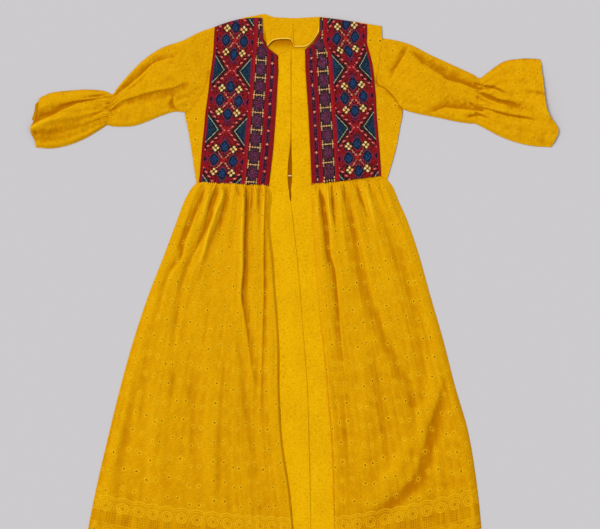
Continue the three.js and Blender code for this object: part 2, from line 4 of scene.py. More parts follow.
import bpy
import numpy as np
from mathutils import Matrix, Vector


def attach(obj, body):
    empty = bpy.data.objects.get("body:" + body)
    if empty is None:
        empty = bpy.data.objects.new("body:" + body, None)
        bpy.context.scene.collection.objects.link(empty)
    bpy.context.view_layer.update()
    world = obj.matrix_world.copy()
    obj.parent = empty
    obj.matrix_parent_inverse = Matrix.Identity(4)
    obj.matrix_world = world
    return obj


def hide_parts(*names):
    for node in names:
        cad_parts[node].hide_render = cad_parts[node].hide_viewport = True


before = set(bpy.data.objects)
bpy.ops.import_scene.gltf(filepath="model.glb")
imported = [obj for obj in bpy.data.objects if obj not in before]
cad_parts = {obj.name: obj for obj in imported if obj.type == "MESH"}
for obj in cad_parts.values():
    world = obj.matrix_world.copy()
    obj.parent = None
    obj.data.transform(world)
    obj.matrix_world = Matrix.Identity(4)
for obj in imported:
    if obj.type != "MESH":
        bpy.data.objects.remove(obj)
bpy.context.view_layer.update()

MM = 0.001

# Layers, in mm above the surface that the gown lies on
FRONT_LEVEL = 1.5
TOP_LEVEL = 3.0
CLOTH = 0.9
# A name that ends in GRID holds the columns and rows of a piece's mesh; a front bodice has that
# many columns on each side of the panel's outer edge

# The gown's edges, in mm, close to the CAD's. Rows of a bodice go from waist to shoulder:
# side edge, panel's outer edge, and the seam with the band, which becomes the neckline.
BODICE_LEFT = [
    [(-221, 233), (-216, 234), (-58, 225)],
    [(-226, 262), (-213, 262), (-53.5, 262)],
    [(-233, 312), (-209, 312), (-48, 312)],
    [(-241, 358), (-204, 358), (-44.5, 358)],
    [(-247, 392), (-201, 392), (-42, 392)],
    [(-227, 411), (-198, 413), (-40.5, 420)],
    [(-207, 443), (-194, 443), (-38.5, 455)],
    [(-197, 472), (-191.5, 470), (-36.5, 485)],
    [(-192, 500), (-187, 500), (-37, 520)],
    [(-188, 528), (-183.5, 528), (-60, 538)],
    [(-185, 556), (-182, 556), (-71, 560)],
    [(-183.5, 571), (-181, 571), (-72, 583)],
    [(-182, 585), (-180, 585), (-73, 606)],
]
BODICE_RIGHT = [
    [(209, 241), (196, 249), (39, 229)],
    [(216, 264), (195, 268), (37.5, 262)],
    [(229, 310), (192, 312), (35.5, 310)],
    [(238, 358), (188, 358), (33, 358)],
    [(244, 399), (185, 399), (31, 399)],
    [(227, 425), (184, 425), (29, 425)],
    [(207, 446), (182, 446), (27.5, 446)],
    [(187, 459), (181, 461), (26.5, 465)],
    [(188, 485), (178, 487), (24.5, 493)],
    [(191, 511), (174, 510), (24, 534)],
    [(197, 545), (164, 547), (43, 548.5)],
    [(198, 560), (164, 562), (56, 569.5)],
    [(197, 587), (164, 591), (58, 607)],
]
CENTRE_LEFT = [(-12, 217), (-14.6, 240), (-13.9, 273), (-7.4, 335), (-7.2, 440), (-7.2, 531)]
CENTRE_RIGHT = [(-8, 217), (-5.4, 240), (-5.4, 273), (-6.8, 335), (-6.8, 440), (-6.8, 536)]
BACK_TOP = [
    (-182, 585), (-150, 594.5), (-116, 606), (-67, 615), (-46, 607),
    (0, 605), (58, 608), (110, 601), (164, 592.5), (197, 587),
]
BACK_WAIST = [
    (-221, 233), (-182, 232), (-125, 228), (-58, 225), (-12, 217),
    (-8, 217), (39, 229), (121, 233), (196, 247), (209, 241),
]
# Rows of a skirt half go from waist to hem: side seam, band seam, band's free edge
SKIRT_LEFT = [
    [(-221, 233), (-58, 225), (-12, 217)],
    [(-235, 217), (-51, 203), (-11, 201)],
    [(-250, 188), (-53, 168), (-5, 165)],
    [(-268, 140), (-53, 118), (0, 115)],
    [(-294, 70), (-46, 50), (8, 47)],
    [(-329, -20), (-40, -40), (15, -40)],
    [(-363, -122), (-34, -132), (22, -132)],
    [(-393, -230), (-33, -242), (30, -244)],
    [(-420, -340), (-26, -358), (33, -360)],
    [(-446, -452), (-8, -482), (36, -484)],
    [(-467, -556), (2, -613.5), (37, -615)],
]
SKIRT_RIGHT = [
    [(209, 241), (39, 229), (-8, 217)],
    [(222, 224), (38, 205), (-7, 201)],
    [(237, 188), (40, 165), (-13, 165)],
    [(256, 144), (42, 112), (-11, 115)],
    [(281, 70), (48, 44), (-4, 47)],
    [(306, -20), (55, -40), (4, -40)],
    [(335, -120), (64, -132), (12, -132)],
    [(363, -229), (74, -242), (20, -244)],
    [(392, -330), (84, -358), (24, -360)],
    [(411, -445), (88, -482), (27, -484)],
    [(422, -547), (91, -612), (28, -614.9)],
]
HEM_LEFT = [(-467, -556), (-360, -577), (-259, -592), (-150, -604), (-74, -610), (2, -613.5)]
HEM_RIGHT = [(422, -547), (360, -562), (290, -578), (220, -592), (150, -604), (91, -612)]
HEM_MIDDLE = [(37, -615)]

# Gathers of each front skirt from side seam to band: place, run down the skirt, height
GATHERS_LEFT = [
    (0.035, 0.30, 4.0), (0.075, 0.42, 5.5), (0.155, 0.62, 6.5), (0.20, 0.40, 6.0), (0.245, 0.50, 6.5),
    (0.34, 0.66, 7.0), (0.39, 0.45, 6.5), (0.49, 0.46, 6.0), (0.53, 0.34, 5.5), (0.605, 0.58, 6.5),
    (0.65, 0.62, 6.5), (0.73, 0.52, 7.0), (0.82, 0.40, 6.5), (0.925, 0.64, 7.0),
]
GATHERS_RIGHT = [
    (0.045, 0.30, 4.0), (0.10, 0.46, 5.0), (0.19, 0.38, 6.0), (0.29, 0.55, 6.0), (0.335, 0.44, 6.5),
    (0.41, 0.36, 5.5), (0.485, 0.62, 6.5), (0.53, 0.60, 6.5), (0.61, 0.40, 6.0), (0.655, 0.34, 5.5),
    (0.77, 0.44, 6.5), (0.81, 0.34, 5.5), (0.91, 0.66, 7.0), (0.96, 0.34, 4.5),
]

# A crease is its points, its depths from first to last point (a ridge where negative), and its
# half widths on the side of lower x or y and on the other side
CREASES_LEFT = [
    ([(-204, 224), (-208, 206), (-218, 179), (-250, 104), (-257, 67), (-284, 30), (-300, -14), (-308, -68)],
     (4, 6, 6, 5.5, 4.5, 3, 1.5, 0), 11, 5),
    ([(-190, 220), (-194, 200), (-203, 175), (-222, 130), (-236, 92)], (-1, -3, -2.5, -1.5, 0), 5, 8),
    ([(-174, 224), (-175, 209), (-185, 179), (-189, 153), (-213, 104), (-237, 55), (-257, -6), (-267, -79),
      (-277, -104)], (3, 5, 4.5, 4.5, 4, 3.5, 2.5, 1.5, 0), 9, 5),
    ([(-161, 221), (-163, 199), (-178, 164), (-197, 107), (-207, 70), (-225, 35), (-240, -20)],
     (-1, -3, -3, -2.5, -2.2, -1.5, 0), 4, 4),
    ([(-149, 220), (-153, 199), (-159, 175), (-169, 146), (-188, 101), (-210, 35), (-230, -18),
      (-247, -55)],
     (2.5, 4, 4, 4, 3.2, 2.4, 1.2, 0), 5, 12),
    ([(-129, 222), (-126, 210), (-122, 198)], (3.5, 2.5, 0), 3, 4),
    ([(-115, 220), (-114.5, 182), (-116.5, 139), (-118, 103), (-119, 43), (-123, -18), (-118, -60)],
     (-1, -2.5, -2.5, -2.5, -2, -1.5, 0), 5, 3),
    ([(-108.6, 222), (-108.6, 182), (-110, 139), (-111.5, 103), (-112.4, 43), (-117, -18), (-112.4, -55),
      (-103, -117), (-95, -178), (-83, -239)], (5, 7.5, 7, 6.5, 6.5, 6, 5, 3.5, 2, 0), 2.2, 13),
    ([(-95.7, 222), (-97, 189), (-98.6, 150)], (3, 2, 0), 2.4, 3),
    ([(-88, 222), (-89, 195), (-90, 160)], (-2, -2.5, 0), 3, 3),
    ([(-78, 222), (-80, 182), (-81, 158)], (4.5, 3, 0), 3, 4.5),
    ([(-69, 222), (-70, 178), (-72, 100), (-73, 20)], (-2, -2.5, -1.5, 0), 4, 2.5),
    ([(-62.5, 222), (-64, 178), (-66, 139), (-66.8, 59), (-67, -18), (-69.5, -117), (-73, -239),
      (-76, -310)],
     (3.5, 4.5, 4.5, 4.5, 4, 3, 1.5, 0), 2, 9),
    ([(-134, -50), (-121, -170), (-107, -286), (-94, -373), (-80, -460)], (0, 2, 2.6, 2, 0), 8, 12),
    ([(-230, -200), (-230, -260), (-231, -340), (-232, -440)], (0, 1.3, 1.5, 0), 7, 11),
    ([(-352, -160), (-376, -300), (-397, -420), (-408, -500)], (0, 1.3, 1.4, 0), 9, 14),
    ([(-266, -30), (-273, -120), (-277, -216), (-282, -290)], (0, 1.5, 1.5, 0), 8, 9),
    ([(-160, -90), (-163, -220), (-170, -380), (-175, -540)], (0, 1.2, 1.3, 0), 8, 12),
    ([(-330, -110), (-341, -210), (-352, -330)], (0, 1.8, 0), 7, 9),
    ([(-196, -120), (-192, -260), (-190, -400), (-188, -540)], (0, -1.8, -2, 0), 16, 20),
    ([(-305, -90), (-315, -240), (-322, -380), (-325, -540)], (0, -1.8, -2, 0), 18, 22),
    ([(-60, -60), (-52, -200), (-40, -400), (-22, -560)], (0, -1.5, -1.5, 0), 12, 12),
]
CREASES_RIGHT = [
    ([(54, 224), (60, 209), (66, 191), (70, 162), (73, 141), (76, 112), (80, 68), (90, 35), (95, -14),
      (98.5, -55),
      (102, -104), (107, -153), (114, -250)], (4, 6, 7, 7, 7, 6.5, 6, 5.5, 5, 4.5, 3.5, 2, 0), 9, 2.4),
    ([(73, 224), (76, 191), (79, 162), (82, 130), (88, 70)], (-1, -3, -3, -2, 0), 3, 3.5),
    ([(84, 224), (86, 191), (90, 155), (94, 130)], (4, 5, 4, 0), 2.6, 3),
    ([(97, 224), (100, 190), (106, 150), (112, 100), (120, 40)], (-2, -3, -2.5, -2, 0), 5, 6),
    ([(112, 224), (114, 203), (117, 185)], (3, 2.5, 0), 3, 3),
    ([(126, 226), (125, 198), (127, 168), (131, 141), (136, 112), (142, 80), (150, 43), (163, -14),
      (181, -68),
      (205, -125), (229, -172), (250, -220), (266, -270)], (2, 3, 4, 4.5, 5, 5, 5, 4.5, 4.5, 4, 4, 3, 1.5),
     (12, 16, 20, 22, 20, 18, 17, 16), (8, 9, 10, 12, 13, 14)),
    ([(140, 232), (144, 219), (150, 198), (156, 181), (163, 159), (168, 140)], (3, 5, 5, 4, 3, 0), 5, 2.6),
    ([(158, 232), (164, 205), (172, 175), (180, 140), (184, 90)], (-2, -3, -3, -2, 0), 8, 7),
    ([(168, 236), (172, 216), (178, 196)], (3, 2.5, 0), 3, 4),
    ([(190, 236), (197, 212), (206, 188)], (2, 1.5, 0), 5, 5),
    ([(190, 186), (207, 130), (225, 90), (244, 43), (259, -6), (269, -55), (279, -104), (286, -150)],
     (0, 2.5, 3.5, 4, 3.5, 3, 2, 0), 24, 18),
    ([(176, -120), (183, -200), (200, -320), (206, -400)], (0, 2, 2.2, 0), 10, 13),
    ([(349, -190), (322, -286), (300, -370), (279, -435), (209, -505), (150, -560)],
     (0, 5, 6.2, 5.4, 3.2, 0), (8, 11, 14, 16), (14, 18, 20, 18)),
    ([(322, -150), (300, -250), (268, -340), (214, -430), (150, -510)], (0, -2.5, -3, -2.5, 0), 18, 16),
    ([(275, -111), (285, -180), (292, -251), (296, -300)], (0, 2, 2, 0), 12, 12),
    ([(262, -230), (268, -300), (262, -373), (248, -440)], (0, 2.5, 2.2, 0), (14, 17), (14, 16)),
    ([(150, -120), (155, -250), (152, -380), (146, -500)], (0, -1.8, -1.8, 0), 12, 12),
    ([(112, -250), (113, -340), (110, -440)], (1, 1.5, 0), 8, 8),
]
# Sleeve stations: upper edge, lower edge, crown height, ripple height
SLEEVE_LEFT = [
    ((-182, 585), (-247, 392), 0, 0),
    ((-216, 573), (-270, 394), 3, 0),
    ((-254, 554), (-298, 386), 6, 0),
    ((-300, 538), (-330, 373), 7, 0),
    ((-342, 510), (-363, 362), 7, 0),
    ((-376, 476), (-393, 360), 6, 0.8),
    ((-400, 448), (-412, 361), 4, 2.2),
    ((-411, 434), (-424, 363), 2, 2),
    ((-430, 441), (-440, 353), 4, 3.5),
    ((-470, 444), (-474, 333), 8, 3),
    ((-515, 441), (-512, 318), 9, 2),
    ((-552, 436), (-549, 311), 9, 1.5),
    ((-577, 424), (-583, 313), 8, 1.5),
]
SLEEVE_RIGHT = [
    ((198, 560), (244, 399), 0, 0),
    ((229, 555), (272, 391), 3, 0),
    ((263, 545), (300, 385), 6, 0),
    ((306, 523), (331, 379), 7, 0),
    ((345, 505), (358, 373), 7, 0),
    ((380, 489), (382, 369), 6, 0.8),
    ((404, 478), (399, 367), 4, 2.2),
    ((419, 470), (410, 366), 2, 2),
    ((436, 482), (434, 354), 4, 3.5),
    ((471, 506), (467, 337), 8, 3),
    ((505, 513), (503, 324), 9, 2),
    ((535, 514), (541, 316), 9, 1.5),
    ((556, 512), (577, 314), 8, 1.5),
]
ELASTIC_STATION = 7
# Creases that run along each sleeve, and those that run down across it
SLEEVE_CREASES_LEFT = [
    ([(-262, 521), (-277, 517), (-306, 510.6), (-320, 504), (-333, 493), (-346, 480.5), (-360, 469),
      (-376, 455),
      (-396, 439), (-413, 428)], (0, 2, 4, 5, 6, 6, 6, 6, 6, 5), 2.6, (14, 14, 12, 11, 9, 6)),
    ([(-318, 490), (-345, 466), (-362, 451), (-378, 440)], (0, 2, 2, 0), 2.2, 3.5),
    ([(-236, 459), (-250, 455), (-277, 444), (-317, 437), (-357, 425), (-381, 418), (-397, 410),
      (-413, 396)],
     (0, 2, 4, 4, 4, 4, 4, 4), (20, 22, 18, 14, 9, 6), 3),
    ([(-200, 456), (-225, 441), (-248, 430), (-268, 422)], (0, 1.5, 3, 0), (8, 8, 7), 3),
    ([(-238, 424), (-254, 416), (-268, 408)], (0, -3, -2), 5, 4),
    ([(-240, 400), (-252, 398), (-264, 397)], (2, 3, 2), 3, 3),
    ([(-420, 427), (-451, 421), (-489, 414.5), (-508, 407), (-528, 398), (-548, 388), (-572, 378),
      (-592, 366)],
     (3, 4, 7, 8, 8, 8, 8, 8), (2, 2.2, 2.6, 3), (3, 4, 8, 13, 16, 18)),
    ([(-418, 434), (-434, 431), (-452, 428.5), (-480, 424), (-500, 421)], (4, 4, 3, 1.5, 0), 2, 3),
    ([(-420, 412), (-440, 408), (-470, 404)], (3, 2, 0), 2.5, 3.5),
    ([(-424, 400), (-445, 390), (-470, 381)], (3, 2, 0), 3, 4),
    ([(-424, 380), (-450, 366), (-480, 352), (-515, 338)], (3, 2.5, 1.5, 0), 5, 9),
    ([(-440, 388), (-500, 366), (-550, 346), (-590, 336)], (0, 3.5, 5, 4.5), 24, 20),
    ([(-480, 398), (-540, 378), (-590, 358)], (0, -3, -3), 7, 5),
    ([(-470, 430), (-520, 424), (-575, 414)], (0, -1.5, -1.5), 8, 8),
]
SLEEVE_CREASES_RIGHT = [
    ([(262, 530), (277, 520), (293, 508), (314, 493), (333, 481), (348, 469), (364, 464), (380, 459.5),
      (404, 450),
      (420, 444)], (1, 4, 5, 5, 5.5, 6, 6, 6, 6, 5), (8, 8, 7, 4, 3, 2.4), (12, 15, 18, 17, 11, 5)),
    ([(290, 388), (303, 391), (325, 399), (341, 405.5), (356, 403), (388, 401), (420, 397)],
     (0, 3, 4, 5, 5, 4.5, 4), 2.4, (5, 9, 16, 20, 16, 9)),
    ([(300, 480), (330, 462), (350, 458)], (0, 1.5, 0), 5, 5),
    ([(360, 385), (385, 384), (410, 388)], (0, 1.5, 3), 5, 3),
    ([(414, 438), (430, 431), (441, 426), (464, 417), (486, 413), (505, 408), (530, 402)],
     (2, 8, 9, 8, 4, 2, 0), (3, 4, 4, 5, 10), (4, 4, 4, 6, 10)),
    ([(470, 408), (492, 402), (512, 398), (530, 399)], (0, 3, 3, 0), 12, 12),
    ([(394, 414), (408, 405), (424, 396)], (0, 5, 3), 2, 2.6),
    ([(384, 378), (400, 384), (416, 386)], (0, 4, 3), 2.4, 3),
    ([(398, 452), (412, 446), (428, 446), (446, 446)], (1, 4, 3, 0), 1.8, 2.2),
    ([(412, 456), (432, 450.5), (453, 447), (468, 439.5), (480, 434)], (4, 5, 4.5, 3.5, 0), 2, 3),
    ([(412, 402), (437, 399), (460, 391.5), (491, 384), (527, 378.5),
      (548, 373)], (4, 4, 4.5, 4.5, 4, 0), 2, 3),
    ([(412, 388), (430, 382), (450, 374), (470, 368)], (4, 3, 1.5, 0), 2.5, 3.5),
    ([(415, 424), (435, 416), (455, 408)], (4, 2.5, 0), 2.5, 3),
    ([(528, 438), (550, 435), (575, 432)], (1.5, 2, 1.5), 3, 5),
    ([(440, 352), (500, 334), (565, 320)], (0, 3, 4), 14, 12),
    ([(530, 420), (548, 405), (572, 390)], (0, -3, -3), 12, 16),
]
SLEEVE_SEAM_RIGHT = [
    ([(259, 546), (250, 531), (244, 520), (234, 504), (226, 490), (220, 477), (217, 462)],
     (3, 4.5, 4.5, 4, 3.5, 2.5, 0), 9, 2.6),
]
SLEEVE_SEAM_LEFT = [
    ([(-200, 590), (-203, 540), (-214, 480), (-226, 430)], (0, 0.8, 0.8, 0), 3, 3),
    ([(-273, 424), (-275, 414), (-271, 404), (-265, 394)], (1, 6, 8, 8), (4, 9, 12), 1.8),
    ([(-246, 412), (-249, 402), (-250, 392)], (1, 4, 5), 2.2, 2.2),
]
FLOUNCE_WAVES = 7

# Upper and lower edge of each neck facing, how far its lower edge lifts, and its belly
FACING_LEFT = (
    [(-70.5, 604), (-56, 605), (-40, 605), (-25, 604), (-10, 603.5), (-3.3, 603.5)],
    [(-61.5, 541), (-49, 553.5), (-34, 557), (-13, 557), (-6.5, 553), (-1.2, 541)], 3.5, 1.5)
FACING_RIGHT = (
    [(-3.1, 603.5), (12, 604), (28, 604), (42, 605.5), (52, 606), (57, 606)],
    [(-0.8, 540), (13, 539.5), (26, 541), (36, 547.5), (46.5, 560), (55, 574)], 1.5, 4)
# Path of a painted highlight along the right neck edge
NECK_HIGHLIGHT_RIGHT = [(22, 538), (34, 543.5), (43.5, 552), (50.5, 564), (54.5, 576), (56, 604)]
HOOK_PLACE = (-14.2, -5.8, 249)

# What each half of the gown is made from; left and right are the photo's. Lean turns the panel's
# chart, whose motifs stand at cluster_at, tie_at and cross_at up it. Under_arm, edge_line and
# parting are strengths of painted shade: below the armhole, along the opening (a painted highlight
# where negative) and where the fronts part. Neck_highlight is the path of a painted highlight.
# The facing begins at the height facing_at. Each seed starts the random draws of what it names.
LEFT = SimpleNamespace(
    name="left", bodice=BODICE_LEFT, armhole=slice(4, 13), neck_row=8, centre=CENTRE_LEFT,
    shoulder_arch=6.5, swell_at=-128, swell_seed=11, under_arm=0.35, facing=FACING_LEFT, neck_highlight=None,
    facing_at=546, edge_line=0.5, parting=0.28,
    lean=0.092, cluster_at=539.0, tie_at=382.5, cross_at=404.3, tie_pitch=39.4, panel_seed=81,
    skirt=SKIRT_LEFT, hem=HEM_LEFT, gathers=GATHERS_LEFT, creases=CREASES_LEFT, lower_shade=0.14,
    skirt_area=0.35, skirt_seed=31, laps=True, band_seed=51,
    sleeve=SLEEVE_LEFT, sleeve_creases=SLEEVE_CREASES_LEFT, seam_creases=SLEEVE_SEAM_LEFT,
    mouth_tip=(0.375, -15.3, 0.22), mouth_slit=(376, 412, -8.5), sleeve_seed=61)
RIGHT = SimpleNamespace(
    name="right", bodice=BODICE_RIGHT, armhole=slice(4, 12), neck_row=9, centre=CENTRE_RIGHT,
    shoulder_arch=1.5, swell_at=108, swell_seed=12, under_arm=1, facing=FACING_RIGHT,
    neck_highlight=NECK_HIGHLIGHT_RIGHT, facing_at=541, edge_line=-0.4, parting=0,
    lean=-0.0945, cluster_at=547.0, tie_at=394.2, cross_at=386.7, tie_pitch=41.2, panel_seed=82,
    skirt=SKIRT_RIGHT, hem=HEM_RIGHT, gathers=GATHERS_RIGHT, creases=CREASES_RIGHT, lower_shade=0.17,
    skirt_area=0.30, skirt_seed=41, laps=False, band_seed=52,
    sleeve=SLEEVE_RIGHT, sleeve_creases=SLEEVE_CREASES_RIGHT, seam_creases=SLEEVE_SEAM_RIGHT,
    mouth_tip=(0.19, 23, 0.15), mouth_slit=(340, 500, 0.0), sleeve_seed=71)
SIDES = (LEFT, RIGHT)


def shares(count):
    return np.linspace(0, 1, count)


def smooth(low, high, value):
    t = np.clip((value - low) / (high - low), 0, 1)
    return t * t * (3 - 2 * t)


def plateau(value, rise, fall):
    """One between a smooth rise and a smooth fall, each a pair of places."""
    return smooth(*rise, value) * (1 - smooth(*fall, value))


def bell(offset, width, power=2):
    """One at no offset, fading to nothing beyond the width."""
    return np.exp(-((offset / width) ** power))


def blend(start, end, share):
    return start * (1 - share) + end * share


def soft_floor(height, sharpness):
    """The height where it is above zero, and smoothly near zero below."""
    return np.logaddexp(0, sharpness * height) / sharpness


def curve_places(points, t):
    """The points as an array, and the stretch and the share of it for each t from 0 to 1."""
    p = np.asarray(points, float)
    place = np.clip(np.asarray(t, float), 0, 1) * (len(p) - 1)
    index = np.minimum(place.astype(int), len(p) - 2)
    return p, index, (place - index)[..., None]


def spline(points, t):
    """Points at t of a Catmull-Rom curve through the given ones."""
    p, index, f = curve_places(points, t)
    ends = np.vstack([p[:1], p, p[-1:]])
    p0, p1, p2, p3 = (ends[index + step] for step in range(4))
    v0 = 0.5 * (p2 - p0)
    v1 = 0.5 * (p3 - p1)
    return (2 * p1 - 2 * p2 + v0 + v1) * f**3 + (-3 * p1 + 3 * p2 - 2 * v0 - v1) * f**2 + v0 * f + p1


def chain(points, t):
    """Points at t of straight lines through the given ones."""
    p, index, f = curve_places(points, t)
    return blend(p[index], p[index + 1], f)


def column(rows, index):
    return [row[index] for row in rows]


def patch(start, end, first, last, u, v):
    """A patch between the edges start(v), end(v), first(u) and last(u): x and y over the grid."""
    uu, vv = np.meshgrid(u, v)
    uu, vv = uu[..., None], vv[..., None]
    s, e = start(v)[:, None], end(v)[:, None]
    corners = blend(blend(s[0], e[0], uu), blend(s[-1], e[-1], uu), vv)
    points = blend(s, e, uu) + blend(first(u)[None], last(u)[None], vv) - corners
    return points[..., 0], points[..., 1]


def along_share(values, share):
    """Values spread evenly over a length, at each share of it."""
    values = np.atleast_1d(values)
    return np.interp(share, shares(len(values)), values)


CREASE_END = 8
CREASE_POINTS = 90


def crease_depth(creases, x, y, down=True):
    """How far creases that run down, or else along x, lower the cloth at each place."""
    run, place = (-y, x) if down else (x, y)
    total = np.zeros_like(x)
    for points, depths, low_widths, high_widths in creases:
        share = shares(CREASE_POINTS)
        path = spline(points, share)
        runs, places = (-path[:, 1], path[:, 0]) if down else (path[:, 0], path[:, 1])
        order = np.argsort(runs)
        runs, places, share = runs[order], places[order], share[order]
        slope = np.gradient(places, runs + 1e-6 * np.arange(len(runs)))
        lean = np.hypot(1, np.interp(run, runs, slope))
        offset = (place - np.interp(run, runs, places)) / lean
        at = np.interp(run, runs, share)
        width = np.where(offset < 0, along_share(low_widths, at), along_share(high_widths, at))
        within = plateau(run, (runs[0] - CREASE_END, runs[0]), (runs[-1], runs[-1] + CREASE_END))
        total += along_share(depths, at) * bell(offset, width) * within
    return total


def blur(values, rows, columns):
    """A grid softened over the given numbers of rows and columns."""
    for axis, reach in ((0, rows), (1, columns)):
        size = int(math.ceil(2.5 * reach))
        kernel = np.exp(-0.5 * (np.arange(-size, size + 1) / reach) ** 2)
        kernel /= kernel.sum()
        margins = [(size, size) if side == axis else (0, 0) for side in (0, 1)]
        padded = np.pad(values, margins, mode="edge")
        values = np.apply_along_axis(np.convolve, axis, padded, kernel, "valid")
    return values


def hollow_share(z, rows, columns, depth):
    """Half on level cloth, up to one in a valley of the given depth and down to zero on a ridge."""
    return np.clip(0.5 + 0.5 * (blur(z, rows, columns) - z) / depth, 0, 1)


def ripples(x, y, seed, length, count=14):
    """Soft uneven waves of about the given length, mostly between -1 and 1."""
    rng = np.random.default_rng(seed)
    total = np.zeros_like(x)
    for _ in range(count):
        angle = rng.uniform(0, math.tau)
        k = math.tau / (length * rng.uniform(0.6, 1.8))
        total += np.sin(k * (x * math.cos(angle) + y * math.sin(angle)) + rng.uniform(0, math.tau))
    return total / math.sqrt(count)


def lengths_down(x, y):
    """Length along the columns of a grid, from its first row."""
    steps = np.hypot(np.diff(x, axis=0), np.diff(y, axis=0))
    return np.vstack([np.zeros((1, x.shape[1])), np.cumsum(steps, axis=0)])


def add_object(name, data):
    added = bpy.data.objects.new(name, data)
    bpy.context.scene.collection.objects.link(added)
    return added


def keep_values(mesh, name, values):
    """Stores a number for each point of a mesh, for its material to read."""
    attribute = mesh.attributes.new(name, "FLOAT", "POINT")
    attribute.data.foreach_set("value", values.astype(np.float32).ravel())


def new_piece(name, points, faces, uv_maps, material, painted_shading=None):
    """A smooth mesh object from points in mm, faces and UV maps in mm of cloth."""
    mesh = bpy.data.meshes.new(name)
    sides = faces.shape[1]
    mesh.vertices.add(len(points))
    mesh.vertices.foreach_set("co", (points * MM).astype(np.float32).ravel())
    mesh.loops.add(faces.size)
    mesh.loops.foreach_set("vertex_index", faces.astype(np.int32).ravel())
    mesh.polygons.add(len(faces))
    mesh.polygons.foreach_set("loop_start", np.arange(0, faces.size, sides, dtype=np.int32))
    mesh.polygons.foreach_set("loop_total", np.full(len(faces), sides, dtype=np.int32))
    mesh.polygons.foreach_set("use_smooth", np.ones(len(faces), dtype=bool))
    for map_name, uv in uv_maps.items():
        layer = mesh.uv_layers.new(name=map_name)
        layer.data.foreach_set("uv", (uv[faces.ravel()] * MM).astype(np.float32).ravel())
    # Values of painted shade and highlight, for the material to read
    if painted_shading is not None:
        keep_values(mesh, "painted_shading", painted_shading)
    mesh.update(calc_edges=True)
    mesh.validate()
    mesh.materials.append(material)
    return add_object(name, mesh)


def grid_points(*grids):
    return np.stack([grid.ravel() for grid in grids], axis=1)


def grid_faces(rows, columns, flip, around=False):
    index = np.arange(rows * columns).reshape(rows, columns)
    right = np.roll(index, -1, axis=1) if around else index[:, 1:]
    index = index if around else index[:, :-1]
    a, b, c, d = index[:-1], right[:-1], right[1:], index[1:]
    return grid_points(a, d, c, b) if flip else grid_points(a, b, c, d)


def outset(values, share=0.1):
    """The grid with one more row and column on each side, a little way out."""
    padded = np.pad(values, 1, mode="edge")
    padded[0] += share * (padded[1] - padded[2])
    padded[-1] += share * (padded[-2] - padded[-3])
    padded[:, 0] += share * (padded[:, 1] - padded[:, 2])
    padded[:, -1] += share * (padded[:, -2] - padded[:, -3])
    return padded


def cloth_grid(node, x, y, z, uv_maps, material, rim=CLOTH, painted_shading=None):
    """A cloth shell over a grid, with its border turned down by the rim's height."""
    # Unless given, painted shade in valleys and a painted highlight on ridges, from the height
    if painted_shading is None:
        painted_shading = hollow_share(z, 4, 5, 2.5)
    painted_shading = np.pad(painted_shading, 1, mode="edge")
    x, y, z = outset(x), outset(y), np.pad(z, 1, mode="edge")
    edge = np.ones_like(z, dtype=bool)
    edge[1:-1, 1:-1] = False
    z = np.where(edge, z - rim, z)
    maps = {}
    for map_name, places in uv_maps.items():
        maps[map_name] = grid_points(*(np.pad(values, 1, mode="edge") for values in places))
    row, place = z.shape[0] // 2, z.shape[1] // 2
    ax, ay = x[row, place + 1] - x[row, place], y[row, place + 1] - y[row, place]
    bx, by = x[row + 1, place] - x[row, place], y[row + 1, place] - y[row, place]
    faces = grid_faces(*z.shape, ax * by - ay * bx < 0)
    return new_piece(node + "_cloth", grid_points(x, y, z), faces, maps, material, painted_shading)


def thicken(piece, thickness, underside=None, below=None):
    """Gives a cloth its thickness below, and its underside a material and painted shading of its own."""
    modifier = piece.modifiers.new("thickness", "SOLIDIFY")
    modifier.thickness = thickness * MM
    modifier.offset = -1
    modifier.use_rim = True
    if underside is not None:
        keep_values(piece.data, "below", np.pad(below, 1, mode="edge"))
        piece.data.materials.append(underside)
        modifier.material_offset = 1


# Materials

